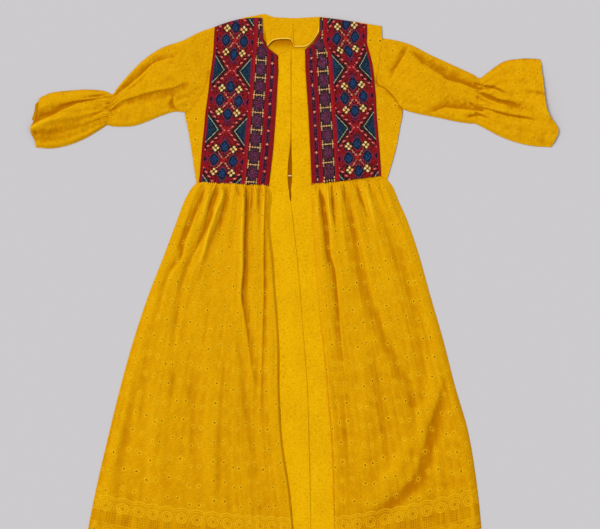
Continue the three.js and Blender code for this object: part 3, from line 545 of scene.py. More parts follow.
class Graph:
    """A material's node graph, with short ways to add maths."""

    def __init__(self, name):
        self.material = bpy.data.materials.new(name)
        self.material.use_nodes = True
        self.tree = self.material.node_tree
        self.shader = self.tree.nodes["Principled BSDF"]

    def node(self, kind, inputs=(), **settings):
        node = self.tree.nodes.new(kind)
        for key, value in settings.items():
            setattr(node, key, value)
        for place, value in enumerate(inputs):
            self.feed(node.inputs[place], value)
        return node

    def feed(self, socket, value):
        if isinstance(value, bpy.types.NodeSocket):
            self.tree.links.new(value, socket)
        elif value is not None:
            socket.default_value = value

    def math(self, operation, *inputs):
        return self.node("ShaderNodeMath", inputs, operation=operation).outputs[0]

    def times(self, a, b):
        return self.math("MULTIPLY", a, b)

    def times_add(self, a, b, c):
        return self.math("MULTIPLY_ADD", a, b, c)

    def size(self, value):
        return self.math("ABSOLUTE", value)

    def most(self, first, *others):
        for other in others:
            first = self.math("MAXIMUM", first, other)
        return first

    def vector(self, operation, *inputs):
        outputs = self.node("ShaderNodeVectorMath", inputs, operation=operation).outputs
        return outputs["Value"] if operation == "LENGTH" else outputs[0]

    def step(self, value, low, high, start=0.0, end=1.0):
        node = self.node("ShaderNodeMapRange", interpolation_type="SMOOTHSTEP")
        for key, given in (("Value", value), ("From Min", low), ("From Max", high),
                           ("To Min", start), ("To Max", end)):
            self.feed(node.inputs[key], given)
        return node.outputs[0]

    def within(self, value, inner, outer, top=1.0):
        """The top value up to the inner limit, falling to zero at the outer one."""
        return self.step(value, inner, outer, top, 0.0)

    def ring(self, distance, radius, width):
        """One on a ring of the given radius and half width, fading at its sides."""
        return self.within(self.size(self.math("SUBTRACT", distance, radius)), 0.35 * width, width)

    def mix(self, factor, a, b):
        node = self.node("ShaderNodeMix", data_type="RGBA")
        for place, value in ((0, factor), (6, a), (7, b)):
            self.feed(node.inputs[place], value)
        return node.outputs[2]

    def noise(self, vector, scale, detail=2.0, rough=0.5, output=0):
        node = self.node("ShaderNodeTexNoise", [vector])
        node.inputs["Scale"].default_value = scale
        node.inputs["Detail"].default_value = detail
        node.inputs["Roughness"].default_value = rough
        return node.outputs[output]

    def split(self, vector):
        outputs = self.node("ShaderNodeSeparateXYZ", [vector]).outputs
        return outputs[0], outputs[1]

    def object_place(self):
        return self.node("ShaderNodeTexCoord").outputs["Object"]

    def mesh_values(self, name):
        return self.node("ShaderNodeAttribute", attribute_name=name).outputs["Fac"]

    def cloth_place(self, map_name):
        """Place on the cloth in mm."""
        uv = self.node("ShaderNodeUVMap", uv_map=map_name).outputs[0]
        return self.vector("MULTIPLY", uv, (1 / MM, 1 / MM, 0))

    def cell(self, place, pitch, shift):
        """Place in mm from the middle of the nearest cell of a lattice."""
        moved = self.vector("ADD", place, (*shift, 0))
        scaled = self.vector("DIVIDE", moved, (*pitch, 1))
        part = self.vector("SUBTRACT", self.vector("FRACTION", scaled), (0.5, 0.5, 0))
        return self.vector("MULTIPLY", part, (*pitch, 0))

    def finish(self, colour, height, roughness=0.9, sheen=0.08, tint=(0.9, 0.5, 0.02, 1)):
        for key, value in (("Base Color", colour), ("Roughness", roughness), ("Specular IOR Level", 0.12),
                           ("Specular Tint", tint), ("Sheen Weight", sheen), ("Sheen Roughness", 0.5),
                           ("Sheen Tint", tint)):
            self.feed(self.shader.inputs[key], value)
        bump = self.node("ShaderNodeBump")
        for key, value in (("Distance", MM), ("Strength", 1.0), ("Height", height)):
            self.feed(bump.inputs[key], value)
        self.feed(self.shader.inputs["Normal"], bump.outputs[0])
        return self.material


def linear(colour):
    """An sRGB colour from 0 to 255 as linear light."""
    share = np.asarray(colour, float) / 255
    return np.where(share <= 0.04045, share / 12.92, ((share + 0.055) / 1.055) ** 2.4)


def rgba(red, green, blue):
    return (*linear((red, green, blue)).tolist(), 1)


# Cloth yellows, and painted ones: a pale tone also used as highlight, valley shade, deep shade and a rim
# highlight
YELLOW_PALE_AND_HIGHLIGHT = rgba(250, 196, 24)
YELLOW_PLAIN = rgba(236, 178, 5)
YELLOW_CLOTH = rgba(227, 165, 4)
YELLOW_INSIDE = rgba(229, 169, 6)
YELLOW_DEEP = rgba(202, 136, 2)
YELLOW_VALLEY_SHADE = rgba(182, 110, 0)
YELLOW_DEEP_SHADE = rgba(124, 66, 0)
YELLOW_RIM_HIGHLIGHT = rgba(255, 206, 92)
WEAVE_PITCH = 0.8

# Eyelets, in mm: their lattice, and the inner and outer edge of a hole, the radius and half
# width of its ring, and the count, depth and middle radius of the flower's petals
EYELET_PITCH = (104.0, 44.0)
EYELET_SHIFTS = ((0, 0), (25, 1), (59, 33), (79, 32))
EYELET_HOLE = (1.2, 2.8)
EYELET_RING = (3.6, 1.7)
EYELET_PETALS = (6.0, 1.8, 7.2)
EYELET_DRIFT = 16.0
LEAF_PITCH = (26.0, 22.0)
LEAF_SHIFT = (7.0, 11.0)

# The worked border, in mm up from the hem
BORDER_TOP = (92.0, 94.0)
FLOWER_PITCH = 33.0
FLOWER_AT = 68.0
BUD_AT = 74.0
ARCHES = ((86.0, 5.0), (81.5, 4.0))
SQUARE_PITCH = 0.92 * FLOWER_PITCH
SQUARE_SHIFT = 4.0
SQUARE_AT = 43.0
LINE_AT = 28.5
FAN_AT = 12.0
FAN_FLOOR = (11.0, 12.0)
HEM_LINE_AT = 6.0


def weave_height(g, place):
    k = math.tau / WEAVE_PITCH
    across, down = (g.math("SINE", g.times(part, k)) for part in g.split(place))
    return g.times(across, down)


def cotton_base(g, place, yellow, ribs=0.0, shading="painted_shading"):
    """Colour and height of the plain cotton: mottled tone, painted shade in valleys, a painted highlight
    on ridges, weave and crumples. Ribs is the strength of its short lines across, and shading names
    the mesh's values of painted shade and highlight."""
    objects = g.object_place()
    broad = g.step(g.noise(objects, 12.0, 2.0), 0.35, 0.7, 0.0, 0.2)
    colour = g.mix(broad, yellow, YELLOW_DEEP)
    grain = g.noise(objects, 230.0, 3.0, 0.7)
    strength = 0.8 - 0.35 * ribs
    colour = g.mix(g.step(grain, 0.50, 0.72, 0.0, strength), colour, YELLOW_DEEP)
    colour = g.mix(g.within(grain, 0.28, 0.46, 0.6 * strength), colour, YELLOW_PALE_AND_HIGHLIGHT)
    height = g.times(g.noise(objects, 60.0, 3.0), 1.6)
    height = g.times_add(grain, 0.6, height)
    if ribs:
        rib = g.noise(g.vector("MULTIPLY", place, (0.13, 0.75, 0)), 1.0, 2.0)
        colour = g.mix(g.step(rib, 0.52, 0.70, 0.0, 0.75 * ribs), colour, YELLOW_DEEP)
        colour = g.mix(g.within(rib, 0.30, 0.46, 0.5 * ribs), colour, YELLOW_PALE_AND_HIGHLIGHT)
        height = g.times_add(rib, 0.5 * ribs, height)
    # Painted shade: deeper orange in valleys, deep brown in the darkest places, and a painted highlight on
    # ridges
    painted_shading = g.mesh_values(shading)
    colour = g.mix(g.step(painted_shading, 0.50, 1.0, 0.0, 0.95), colour, YELLOW_VALLEY_SHADE)
    colour = g.mix(g.step(painted_shading, 1.0, 1.5, 0.0, 0.6), colour, YELLOW_DEEP_SHADE)
    colour = g.mix(g.within(painted_shading, 0.0, 0.48, 0.75), colour, YELLOW_PALE_AND_HIGHLIGHT)
    return colour, g.times_add(weave_height(g, place), 0.05, height)


def worked(g, colour, height, thread, holes, thread_highlight):
    """Adds raised thread, lightened by a painted highlight, and sunk holes that are not cut through,
    darkened by painted shade, to a cloth's colour and height.
    """
    colour = g.mix(g.times(thread, thread_highlight), colour, YELLOW_PALE_AND_HIGHLIGHT)
    colour = g.mix(holes, colour, YELLOW_DEEP_SHADE)
    height = g.times_add(thread, 0.4, height)
    return colour, g.times_add(holes, -0.12, height)


def eyelets(g, place, colour, height, strength=1.0):
    """Adds scattered eyelets, each in a flower of thread, and small leaves between them."""
    drift = g.noise(place, 0.02, output="Color")
    moved = g.vector("MULTIPLY_ADD", drift, (EYELET_DRIFT, EYELET_DRIFT, 0.0), place)
    openness = g.step(g.noise(place, 0.06, 1.0), 0.42, 0.56, 0.1 * strength, 0.85 * strength)
    petals, depth, reach = EYELET_PETALS
    flowers, rings, holes = [], [], []
    for shift in EYELET_SHIFTS:
        local = g.cell(moved, EYELET_PITCH, shift)
        x, y = g.split(local)
        r = g.vector("LENGTH", local)
        turn = g.times(g.math("ARCTAN2", y, x), petals)
        flowers.append(g.ring(r, g.times_add(g.math("COSINE", turn), depth, reach), 1.4))
        rings.append(g.ring(r, *EYELET_RING))
        holes.append(g.within(r, *EYELET_HOLE))
    x, y = g.split(g.cell(moved, LEAF_PITCH, LEAF_SHIFT))
    slant = g.size(g.math("ADD", y, g.times(g.size(x), 0.7)))
    leaf = g.times(g.within(slant, 0.5, 1.5), g.within(g.size(x), 4.0, 5.0, 0.6))
    fine = g.times(g.most(leaf, *flowers), 0.4)
    thread = g.times(g.most(fine, *rings), strength)
    # The thread gets a painted highlight and the uncut holes painted shade
    return worked(g, colour, height, thread, g.times(g.most(*holes), openness), 0.55)


def plain_cotton():
    g = Graph("plain_cotton")
    return g.finish(*cotton_base(g, g.cloth_place("cloth"), YELLOW_PLAIN))


def inside_cotton():
    """The cloth's inner face, with a painted highlight on a rolled rim where its painted shading is below
    zero.
    """
    g = Graph("inside_cotton")
    colour, height = cotton_base(g, g.cloth_place("cloth"), YELLOW_INSIDE)
    # Painted highlight on the rolled rim
    rim = g.within(g.mesh_values("painted_shading"), -0.8, -0.1, 0.95)
    return g.finish(g.mix(rim, colour, YELLOW_RIM_HIGHLIGHT), height)


def eyelet_cotton(name, shading, strength=1.0):
    g = Graph(name)
    place = g.cloth_place("cloth")
    base = cotton_base(g, place, YELLOW_CLOTH, 1.0, shading)
    return g.finish(*eyelets(g, place, *base, strength))


def border_motifs(g, x, up):
    """Thread and holes of the worked border, from the way along it and up from the hem."""
    def arch(base, rise):
        wave = g.size(g.math("SINE", g.times(x, math.pi / FLOWER_PITCH)))
        return g.ring(up, g.times_add(wave, rise, base), 2.1)

    def row_of(pitch, middle, shift):
        """Place in one motif of a row, and the distance from its middle."""
        moved = g.node("ShaderNodeCombineXYZ", [x, g.math("SUBTRACT", up, middle), 0.0]).outputs[0]
        cell = g.cell(moved, (pitch, 400.0), (shift, 200.0))
        return cell, g.vector("LENGTH", cell)

    flower, r = row_of(FLOWER_PITCH, FLOWER_AT, 0.0)
    fx, fy = g.split(flower)
    wave = g.math("COSINE", g.times(g.math("ARCTAN2", fy, fx), 8.0))
    outer = g.ring(r, g.times_add(wave, 0.8, 11.0), 2.0)
    inner = g.ring(r, g.times_add(wave, -0.6, 6.0), 1.7)
    eye = g.within(r, 1.0, 2.0, 0.45)

    bud, r = row_of(FLOWER_PITCH, BUD_AT, FLOWER_PITCH / 2)
    bx, by = g.split(bud)
    bud_ring = g.ring(r, 3.4, 1.2)
    bud_eye = g.within(r, 0.8, 1.6, 0.4)
    stem = g.times(g.within(g.size(bx), 0.4, 1.2), g.within(g.size(g.math("ADD", by, 9.0)), 4.0, 5.0))

    square, _ = row_of(SQUARE_PITCH, SQUARE_AT, SQUARE_SHIFT)
    sx, sy = g.split(square)
    in_square = g.times(g.within(g.size(sx), 10.2, 10.6), g.within(g.size(sy), 12.8, 13.2))
    from_hole = g.vector("LENGTH", g.cell(square, (5.2, 5.2), (0.0, 2.6)))
    grid_holes = g.times(g.within(from_hole, 0.8, 1.8, 0.5), in_square)

    _, r = row_of(SQUARE_PITCH, FAN_AT, SQUARE_SHIFT)
    fans = g.times(g.most(g.ring(r, 12.0, 1.4), g.ring(r, 7.0, 1.1)), g.step(up, *FAN_FLOOR))
    fan_eye = g.within(r, 1.0, 1.9)
    upper, lower = (arch(*sizes) for sizes in ARCHES)
    thread = g.most(upper, g.times(lower, 0.6), outer, inner, bud_ring, stem, fans,
                    g.times(g.ring(up, LINE_AT, 1.2), 0.7), g.ring(up, HEM_LINE_AT, 1.3))
    return thread, g.most(eye, bud_eye, grid_holes, fan_eye)


def border_cotton(name, shading):
    """Eyelet cotton with the worked border along its hem."""
    g = Graph(name)
    place = g.cloth_place("cloth")
    base = cotton_base(g, place, YELLOW_CLOTH, 1.0, shading)
    colour, height = eyelets(g, place, *base)
    x, up = g.split(g.cloth_place("hem"))
    # The border's thread gets a painted highlight and its uncut holes painted shade
    border_colour, border_height = worked(g, *base, *border_motifs(g, x, up), 0.5)
    in_border = g.within(up, *BORDER_TOP)
    height_mix = g.node("ShaderNodeMix", [in_border, None, height, border_height], data_type="FLOAT")
    return g.finish(g.mix(in_border, colour, border_colour), height_mix.outputs[0])


def thread_material(name, colour):
    g = Graph(name)
    strands = g.noise(g.object_place(), 900.0, 1.0)
    darker = tuple(0.7 * part for part in colour[:3]) + (1,)
    return g.finish(g.mix(g.times(strands, 0.5), colour, darker), strands, 0.6)


PLAIN = plain_cotton()
INSIDE = inside_cotton()
EYELET = eyelet_cotton("eyelet_cotton", "painted_shading")
SLEEVE = eyelet_cotton("sleeve_cotton", "painted_shading", 0.5)
BORDER = border_cotton("border_cotton", "painted_shading")
EYELET_BELOW = eyelet_cotton("eyelet_cotton_below", "below")
BORDER_BELOW = border_cotton("border_cotton_below", "below")
HOOK_THREAD = thread_material("hook_thread", rgba(255, 216, 148))


def declare(piece, node):
    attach(piece, "root")
    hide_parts(node)


# Back

BACK_BODICE_GRID = (110, 90)
BACK_SKIRT_GRID = (120, 110)
BACK_THICKNESS = 0.5
BACK_RIM = 0.4
BACK_SKIRT_WIDTH = 889
OPENING_AT = -9


def opening_shade(x, y):
    """Shade where the inside of the back is seen below the neck facings and through the opening."""
    neck = plateau(y, (502, 524), (566, 580)) * plateau(x, (-78, -62), (50, 70))
    front = plateau(y, (150, 190), (300, 420)) * (1 - smooth(8, 20, np.abs(x - OPENING_AT)))
    return 0.5 + np.maximum(0.42 * neck * smooth(528, 554, y), front)


def back_bodice():
    x, y = patch(lambda t: chain(column(BODICE_LEFT, 0), t), lambda t: chain(column(BODICE_RIGHT, 0), t),
                 lambda t: chain(BACK_WAIST, t), lambda t: chain(BACK_TOP, t),
                 *map(shares, BACK_BODICE_GRID))
    z = CLOTH + 0.15 * ripples(x, y, 3, 60)
    piece = cloth_grid("back_bodice", x, y, z, {"cloth": (x, y)}, INSIDE, BACK_RIM, opening_shade(x, y))
    # Painted shading of the underside, a little darker than level cloth and uneven
    below = 0.53 + 0.05 * ripples(x, y, 91, 45) + 0.04 * ripples(x, y, 92, 14)
    thicken(piece, BACK_THICKNESS, EYELET_BELOW, below)
    declare(piece, "back_bodice")


def back_skirt():
    u, v = map(shares, BACK_SKIRT_GRID)
    hem = HEM_LEFT + HEM_MIDDLE + HEM_RIGHT[::-1]
    x, y = patch(lambda t: spline(column(SKIRT_LEFT, 0), t), lambda t: spline(column(SKIRT_RIGHT, 0), t),
                 lambda t: chain(BACK_WAIST, t), lambda t: chain(hem, t), u, v)
    uu, vv = np.meshgrid(u, v)
    across = (uu - 0.5) * BACK_SKIRT_WIDTH
    down = lengths_down(x, y)
    maps = {"cloth": (across, down), "hem": (across, down[-1:] - down)}
    piece = cloth_grid("back_skirt", x, y, np.full_like(x, CLOTH), maps, INSIDE, BACK_RIM,
                       opening_shade(x, y))
    # Painted shade and highlight of gathers and pleats on the flat underside, fading toward the hem
    fold_shade = ripples(across * (0.55 + 0.45 * vv), down * 0.06, 93, 26, 26) * (0.17 - 0.09 * vv)
    pleat_shade = ripples(across, down * 0.05, 94, 11, 20) * 0.16 * (1 - smooth(0.02, 0.22, vv))
    thicken(piece, BACK_THICKNESS, BORDER_BELOW, 0.55 + fold_shade + pleat_shade)
    declare(piece, "back_skirt")


FACING_GRID = (60, 60)
FACING_RISE = 0.6
FACING_RIM = 1.2
FACING_THICKNESS = 0.3
ROLL_HEIGHT = 0.9
FACING_SEAM_AT = -2.5


def facing(side):
    """A neck facing whose lower edge is rolled and lifts off the back, with a painted highlight on the roll
    and painted shade beside it. A painted highlight follows the neck edge as well, where one is given."""
    node = "back_neck_facing_" + side.name
    upper, lower, curl, belly = side.facing
    u, v = map(shares, FACING_GRID)
    vv = v[:, None]
    top, bottom = spline(upper, u)[None], spline(lower, u)[None]
    points = blend(top, bottom, vv[..., None])
    x, y = points[..., 0], points[..., 1]
    to_edge = (1 - vv) * np.linalg.norm(top - bottom, axis=2)
    roll = bell(to_edge - 1.5, 1.3)
    z = FRONT_LEVEL + FACING_RISE + curl * vv**3 + belly * np.sin(math.pi * u) * vv * (1 - vv)
    z = z + 0.4 * ripples(x, y, 5, 25) + ROLL_HEIGHT * roll
    # Painted highlight on the roll and painted shade just inside it
    painted_shading = 0.5 - 1.35 * roll + 0.2 * bell(to_edge - 4.5, 1.5)
    # Painted highlight along the neck edge
    if side.neck_highlight:
        path = spline(side.neck_highlight, shares(80))
        off = np.hypot(x[..., None] - path[:, 0], y[..., None] - path[:, 1]).min(axis=2)
        painted_shading = painted_shading - 1.1 * bell(off, 1.8) * (1 - smooth(580, 600, y))
    painted_shading = painted_shading + 0.1 * bell(x - FACING_SEAM_AT, 3.0) * smooth(1, 6, to_edge)
    piece = cloth_grid(node, x, y, z, {"cloth": (x, y)}, INSIDE, FACING_RIM, np.clip(painted_shading, -1, 1))
    thicken(piece, FACING_THICKNESS)
    declare(piece, node)


# Front bodice

BODICE_GRID = (40, 150)
BODICE_BAND_GRID = (20, 120)
SWELL = 2.5
SWELL_WIDTH = 105
SWELL_MIDDLE = 415
SWELL_LENGTH = 190


def bodice_height(x, y, side):
    """Height of a front bodice's face at a place: a soft swelling and a few waves."""
    across = np.clip(1 - ((x - side.swell_at) / SWELL_WIDTH) ** 2, 0, 1)
    down = np.clip(1 - ((y - SWELL_MIDDLE) / SWELL_LENGTH) ** 2, 0, 1)
    waves = 0.5 * ripples(x, y, side.swell_seed, 90)
    return FRONT_LEVEL + CLOTH + (SWELL + waves) * across * down


def shoulder_rise(v, t, side):
    """How far the shoulder edge arches above straight rows, at v up the bodice and t across the panel."""
    return side.shoulder_arch * np.sin(math.pi * t) * np.clip((len(side.bodice) - 1) * (v - 1) + 1, 0, 1)


def front_bodice(side):
    """One cloth from the side edge to the band's seam, on under the panel."""
    node = "front_bodice_" + side.name
    u, v = map(shares, BODICE_GRID)
    t = u[None, :, None]
    outer = spline(column(side.bodice, 0), v)[:, None]
    edge = spline(column(side.bodice, 1), v)[:, None]
    seam = chain(column(side.bodice, 2), v)[:, None]
    under_panel = blend(edge, seam, t[:, 1:])
    under_panel[..., 1] += shoulder_rise(v[:, None], t[:, 1:, 0], side)
    points = np.concatenate([blend(outer, edge, t), under_panel], axis=1)
    x, y = points[..., 0], points[..., 1]
    from_side = np.linalg.norm(points - outer, axis=2)
    row = v[:, None] * (len(side.bodice) - 1)
    first = side.armhole.start
    # Painted shade below the armhole, and small uneven changes of painted shade over the cloth
    under_arm = side.under_arm * plateau(row, (first - 0.5, first + 0.3), (first + 2.8, first + 4.2))
    painted_shading = 0.5 + (0.5 * bell(from_side, 4) + 0.22 * bell(from_side, 12)) * under_arm
    painted_shading = painted_shading + 0.06 * ripples(x, y, 13, 24) + 0.05 * ripples(x, y, 14, 9)
    z = bodice_height(x, y, side)
    piece = cloth_grid(node, x, y, z, {"cloth": (x, y)}, EYELET, CLOTH, painted_shading)
    declare(piece, node)


def bodice_band(side):
    """The plain band beside the opening, from the waist to the neck."""
    node = "band_bodice_" + side.name
    u, v = map(shares, BODICE_BAND_GRID)
    t = u[None, :, None]
    seam = chain(column(side.bodice[:side.neck_row + 1], 2), v)[:, None]
    middle = spline(side.centre, v)[:, None]
    points = blend(seam, middle, t)
    x, y = points[..., 0], points[..., 1]
    z = FRONT_LEVEL + CLOTH + 0.5 * np.sin(math.pi * t[..., 0]) + 0.3 * ripples(x, y, 21, 45)
    from_middle = np.linalg.norm(points - middle, axis=2)
    # Painted shade along the opening's edge (a painted highlight where edge_line is negative) and under the
    # facing's edge
    painted_shading = 0.5 + side.edge_line * bell(from_middle, 1.7) * (1 - smooth(508, 524, y))
    painted_shading = np.maximum(painted_shading, 0.5 + 0.35 * smooth(side.facing_at - 12, side.facing_at, y))
    # Painted shade where the fronts part
    if side.parting:
        parting = side.parting * plateau(y, (276, 296), (310, 470))
        painted_shading = np.maximum(painted_shading, 0.5 + parting * bell(from_middle, 6.5, 4))
    piece = cloth_grid(node, x, y, z, {"cloth": (x, y)}, PLAIN, CLOTH, painted_shading)
    declare(piece, node)


# Skirt

SKIRT_GRID = (250, 310)
SKIRT_CROWDING = 1.15
SKIRT_PUFF = 5.0
GATHER_SHARE = 0.6
LIP_REACH = 2.8
LIP_RISE = 1.3
FINE_GATHERS = 34
SKIRT_SPARE = 30
CREASE_SHADE = 0.054


def gather_height(gathers, u, v):
    pitch = 1 / len(gathers)
    start = 0.35 + 0.65 * smooth(0, 0.12, v)
    height = np.zeros_like(u)
    for at, run, peak in gathers:
        offset = np.minimum(1, 1.15 * np.abs(u - at) / pitch)
        fade = 1 - smooth(0.35 * run, run, v)
        height += peak * (0.5 + 0.5 * np.cos(math.pi * offset)) * start * fade
    return height


def fine_gathers(u, v, seed):
    """Small uneven gathers that fade within a hand's width of the waist seam."""
    rng = np.random.default_rng(seed)
    height = np.zeros_like(u)
    for at in np.linspace(0.015, 0.985, FINE_GATHERS) + rng.uniform(-0.011, 0.011, FINE_GATHERS):
        run = rng.uniform(0.05, 0.20)
        width = rng.uniform(0.006, 0.012)
        profile = bell(u - at, width * (1 + 1.2 * v / run))
        height += rng.uniform(0.8, 2.3) * profile * (1 - smooth(0.25 * run, run, v))
    return height


def skirt_relief(side, uu, vv, x, y):
    """Height of a front skirt's face, how far its creases lower it, and its fine streaks."""
    seed = side.skirt_seed
    width = np.abs(x[:, -1:] - x[:, :1])
    edge = smooth(0, 24, uu * width) * smooth(0, 11, (1 - uu) * width)
    crease = crease_depth(side.creases, x, y)
    streaks = ripples(uu * 230, vv * 42, seed + 7, 9, 30) * smooth(0, 0.05, vv)
    height = GATHER_SHARE * gather_height(side.gathers, uu, vv) + fine_gathers(uu, vv, seed)
    height = height + (SKIRT_PUFF * smooth(0, 0.12, vv) - crease) * smooth(-0.08, 0.08, vv)
    height = height + 0.6 * ripples(x, y, seed, 80) * smooth(0, 0.3, vv)
    height = height + 0.35 * ripples(x, y, seed + 1, 26, 20) * smooth(0, 0.1, vv)
    height = height + 0.3 * streaks * (1 - 0.6 * vv)
    return FRONT_LEVEL + CLOTH + edge * soft_floor(height, 1.6), crease, streaks


def skirt_shade(side, uu, vv, z, crease, streaks, down):
    """Painted shading of a front skirt: shade in its hollows and creases, darker toward the hem,
    and a painted highlight on the gathered lip at the seam.
    """
    away = smooth(0, 0.2, vv)
    depth_share = 0.72 + 0.28 * away - 0.36 * smooth(0.35, 0.6, vv)
    painted_shading = 0.5 + (0.38 + 0.12 * away) * (hollow_share(z, 4, 7, 3.2) - 0.5)
    painted_shading = painted_shading + CREASE_SHADE * crease * depth_share - (0.055 - 0.03 * vv) * streaks
    painted_shading = painted_shading + side.lower_shade * smooth(0.3, 0.8, vv) + 0.05 * smooth(0.85, 0.95, vv)
    # Painted highlight along the gathered lip at the waist seam
    lip_highlight = 0.35 + 0.35 * np.sin(uu * 400 + 3 * np.sin(uu * 90))
    return np.clip(painted_shading - 0.5 * lip_highlight * bell(down, 2.2), 0, 1)


def front_skirt(side):
    """A gathered front skirt, whose uneven upper lip covers the waist seam."""
    node = "front_skirt_" + side.name
    u, v = map(shares, SKIRT_GRID)
    v = v**SKIRT_CROWDING
    outer, seam = column(side.skirt, 0), column(side.skirt, 1)
    x, y = patch(lambda t: spline(outer, t), lambda t: spline(seam, t),
                 lambda t: chain([outer[0], seam[0]], t), lambda t: spline(side.hem, t), u, v)
    uu, vv = np.meshgrid(u, v)
    z, crease, streaks = skirt_relief(side, uu, vv, x, y)
    painted_shading = skirt_shade(side, uu, vv, z, crease, streaks, lengths_down(x, y))
    from_side = uu * np.abs(x[:, -1:] - x[:, :1])
    lip = 1 - smooth(0, 0.012, vv)
    y = y + LIP_REACH * lip * np.abs(np.sin(uu * 70 + 2 * np.sin(uu * 31 + side.skirt_seed)))
    z = z - FRONT_LEVEL * (1 - smooth(0, 5, from_side)) + LIP_RISE * lip * smooth(0, 20, from_side)
    down = lengths_down(x, y)
    across = (uu - 0.5) * (abs(side.hem[0][0] - side.hem[-1][0]) + SKIRT_SPARE)
    maps = {"cloth": (across, down), "hem": (across, down[-1:] - down)}
    piece = cloth_grid(node, x, y, z, maps, BORDER, CLOTH, painted_shading)
    declare(piece, node)


SKIRT_BAND_GRID = (28, 220)
SEAM_TUCK = 1.5


def skirt_band(side):
    """A front band whose seam edge is tucked a little under the skirt."""
    node = "band_skirt_" + side.name
    u, v = map(shares, SKIRT_BAND_GRID)
    seam = spline(column(side.skirt, 1), v)[:, None]
    free = spline(column(side.skirt, 2), v)[:, None]
    seam = seam + SEAM_TUCK * (seam - free) / np.linalg.norm(seam - free, axis=2, keepdims=True)
    points = blend(seam, free, u[None, :, None])
    x, y = points[..., 0], points[..., 1]
    uu, vv = np.meshgrid(u, v)
    from_seam = uu * np.linalg.norm(seam - free, axis=2)
    climb = smooth(0.2, 0.75, uu) * smooth(0, 0.1, vv) if side.laps else 0
    z = FRONT_LEVEL + CLOTH + (TOP_LEVEL - FRONT_LEVEL) * climb + 0.6 * np.sin(math.pi * uu)
    z = z + 0.4 * ripples(x, y, side.band_seed, 80) - 0.7 * (1 - smooth(0, 3, from_seam))
    piece = cloth_grid(node, x, y, z, {"cloth": (x, y)}, PLAIN)
    declare(piece, node)


# Sleeves

SLEEVE_ROWS = 250
TOP_COLUMNS = 150
UNDER_COLUMNS = 34
ARMHOLE_STATIONS = 3
SLEEVE_GIRTH = 215
ELASTIC_GATHERS = 15
# The mouth's turned hem: how far in each of its rows lies, and how far down
MOUTH_HEM = ((0.3, 0.45), (1.5, 0.7), (7.0, 0.6))
HEM_SHADE = 0.8


def elastic_gathers(k, w, seed):
    """Tight gathers at the elastic, at station k along the sleeve and share w across it."""
    rng = np.random.default_rng(seed)
    total = 0
    for place in np.linspace(0.06, 0.94, ELASTIC_GATHERS) + rng.uniform(-0.02, 0.02, ELASTIC_GATHERS):
        run = 1.5 * (0.35 + 0.65 * rng.random())
        width = rng.uniform(0.012, 0.022)
        total = total + rng.uniform(1.2, 2.8) * bell(k - ELASTIC_STATION, run) * bell(w - place, width)
    return total


def sleeve_outline(side, k, w, is_top):
    """x and y at station k along the sleeve and share w across it, bent to the armhole at its upper
    end. The slit gives the span of y where the under side reaches past the upper one, and how far."""
    stations = side.sleeve
    last = len(stations) - 1
    lower, upper = (spline(column(stations, part), k / last) for part in (1, 0))
    chord = blend(np.asarray(stations[0][1]), np.asarray(stations[0][0]), w[..., None])
    bend = spline(column(side.bodice[side.armhole], 0), w[0])[None] - chord
    points = blend(lower, upper, w[..., None]) + bend * (1 - np.clip(k / ARMHOLE_STATIONS, 0, 1))[..., None]
    x, y = points[..., 0], points[..., 1]
    at, reach, spread = side.mouth_tip
    x = x + reach * smooth(last - 1, last, k) * bell(w - at, spread)
    low, high, back = side.mouth_slit
    slit = plateau(y, (low - 6, low + 3), (high - 3, high + 8)) * smooth(last - 0.8, last, k)
    return x + np.where(is_top, 0, back * slit), y


def sleeve_relief(side, k, w, x, y):
    """Height of the sleeve's upper side, and how far its creases lower it."""
    seed = side.sleeve_seed
    numbers = np.arange(len(side.sleeve))
    crown, ripple = (np.interp(k, numbers, column(side.sleeve, part)) for part in (2, 3))
    arch = np.sin(math.pi * w)
    wave = ripple * (0.5 - 0.5 * np.cos(math.tau * FLOUNCE_WAVES * w + 0.5 * np.sin(k)))
    stitches = -0.9 * bell(k - ELASTIC_STATION, 0.07)
    share = np.minimum(1, (crown + 1.5 * bell(k - ELASTIC_STATION, 0.5)) / 4)
    fold = crease_depth(side.sleeve_creases, x, y, down=False) + crease_depth(side.seam_creases, x, y)
    waves = 0.7 * ripples(x, y, seed, 55) + 0.35 * ripples(x, y, seed + 1, 18, 20)
    relief = 0.6 * wave + elastic_gathers(k, w, seed + 5) + stitches + share * (waves - fold)
    rise = crown * arch**0.6 + smooth(0, 0.4, arch) * relief
    return FRONT_LEVEL + CLOTH + soft_floor(rise, 1.8) - soft_floor(0, 1.8), fold


def sleeve_shade(side, k, w, x, y, top, fold):
    """Painted shading of the sleeve's upper side, and of its under side, which is darker near the mouth."""
    seed = side.sleeve_seed
    last = len(side.sleeve) - 1
    over = 0.57 + 0.55 * (hollow_share(top, 4, 5, 2.8) - 0.5)
    over = over + CREASE_SHADE * fold * smooth(0, 0.5, np.sin(math.pi * w))
    over = over + 0.05 * ripples(x, y, seed + 2, 30) + 0.04 * ripples(x, y, seed + 3, 9)
    under = 0.56 + 0.06 * ripples(x, 2 * y, seed + 4, 60) + 0.25 * smooth(last - 0.9, last - 0.1, k)
    return over, under


def turn_hem(x, y, z, painted_shading, is_top, inward):
    """The sleeve's grids with the rows of the mouth's turned hem below them."""
    rows = [(x, y, z, painted_shading)]
    for step, drop in MOUTH_HEM:
        turned_z = z[-1] - np.where(is_top[0], drop, -0.35)
        rows.append((x[-1] + inward * step, y[-1], turned_z, np.full_like(turned_z, HEM_SHADE)))
    return (np.vstack(grids) for grids in zip(*rows))


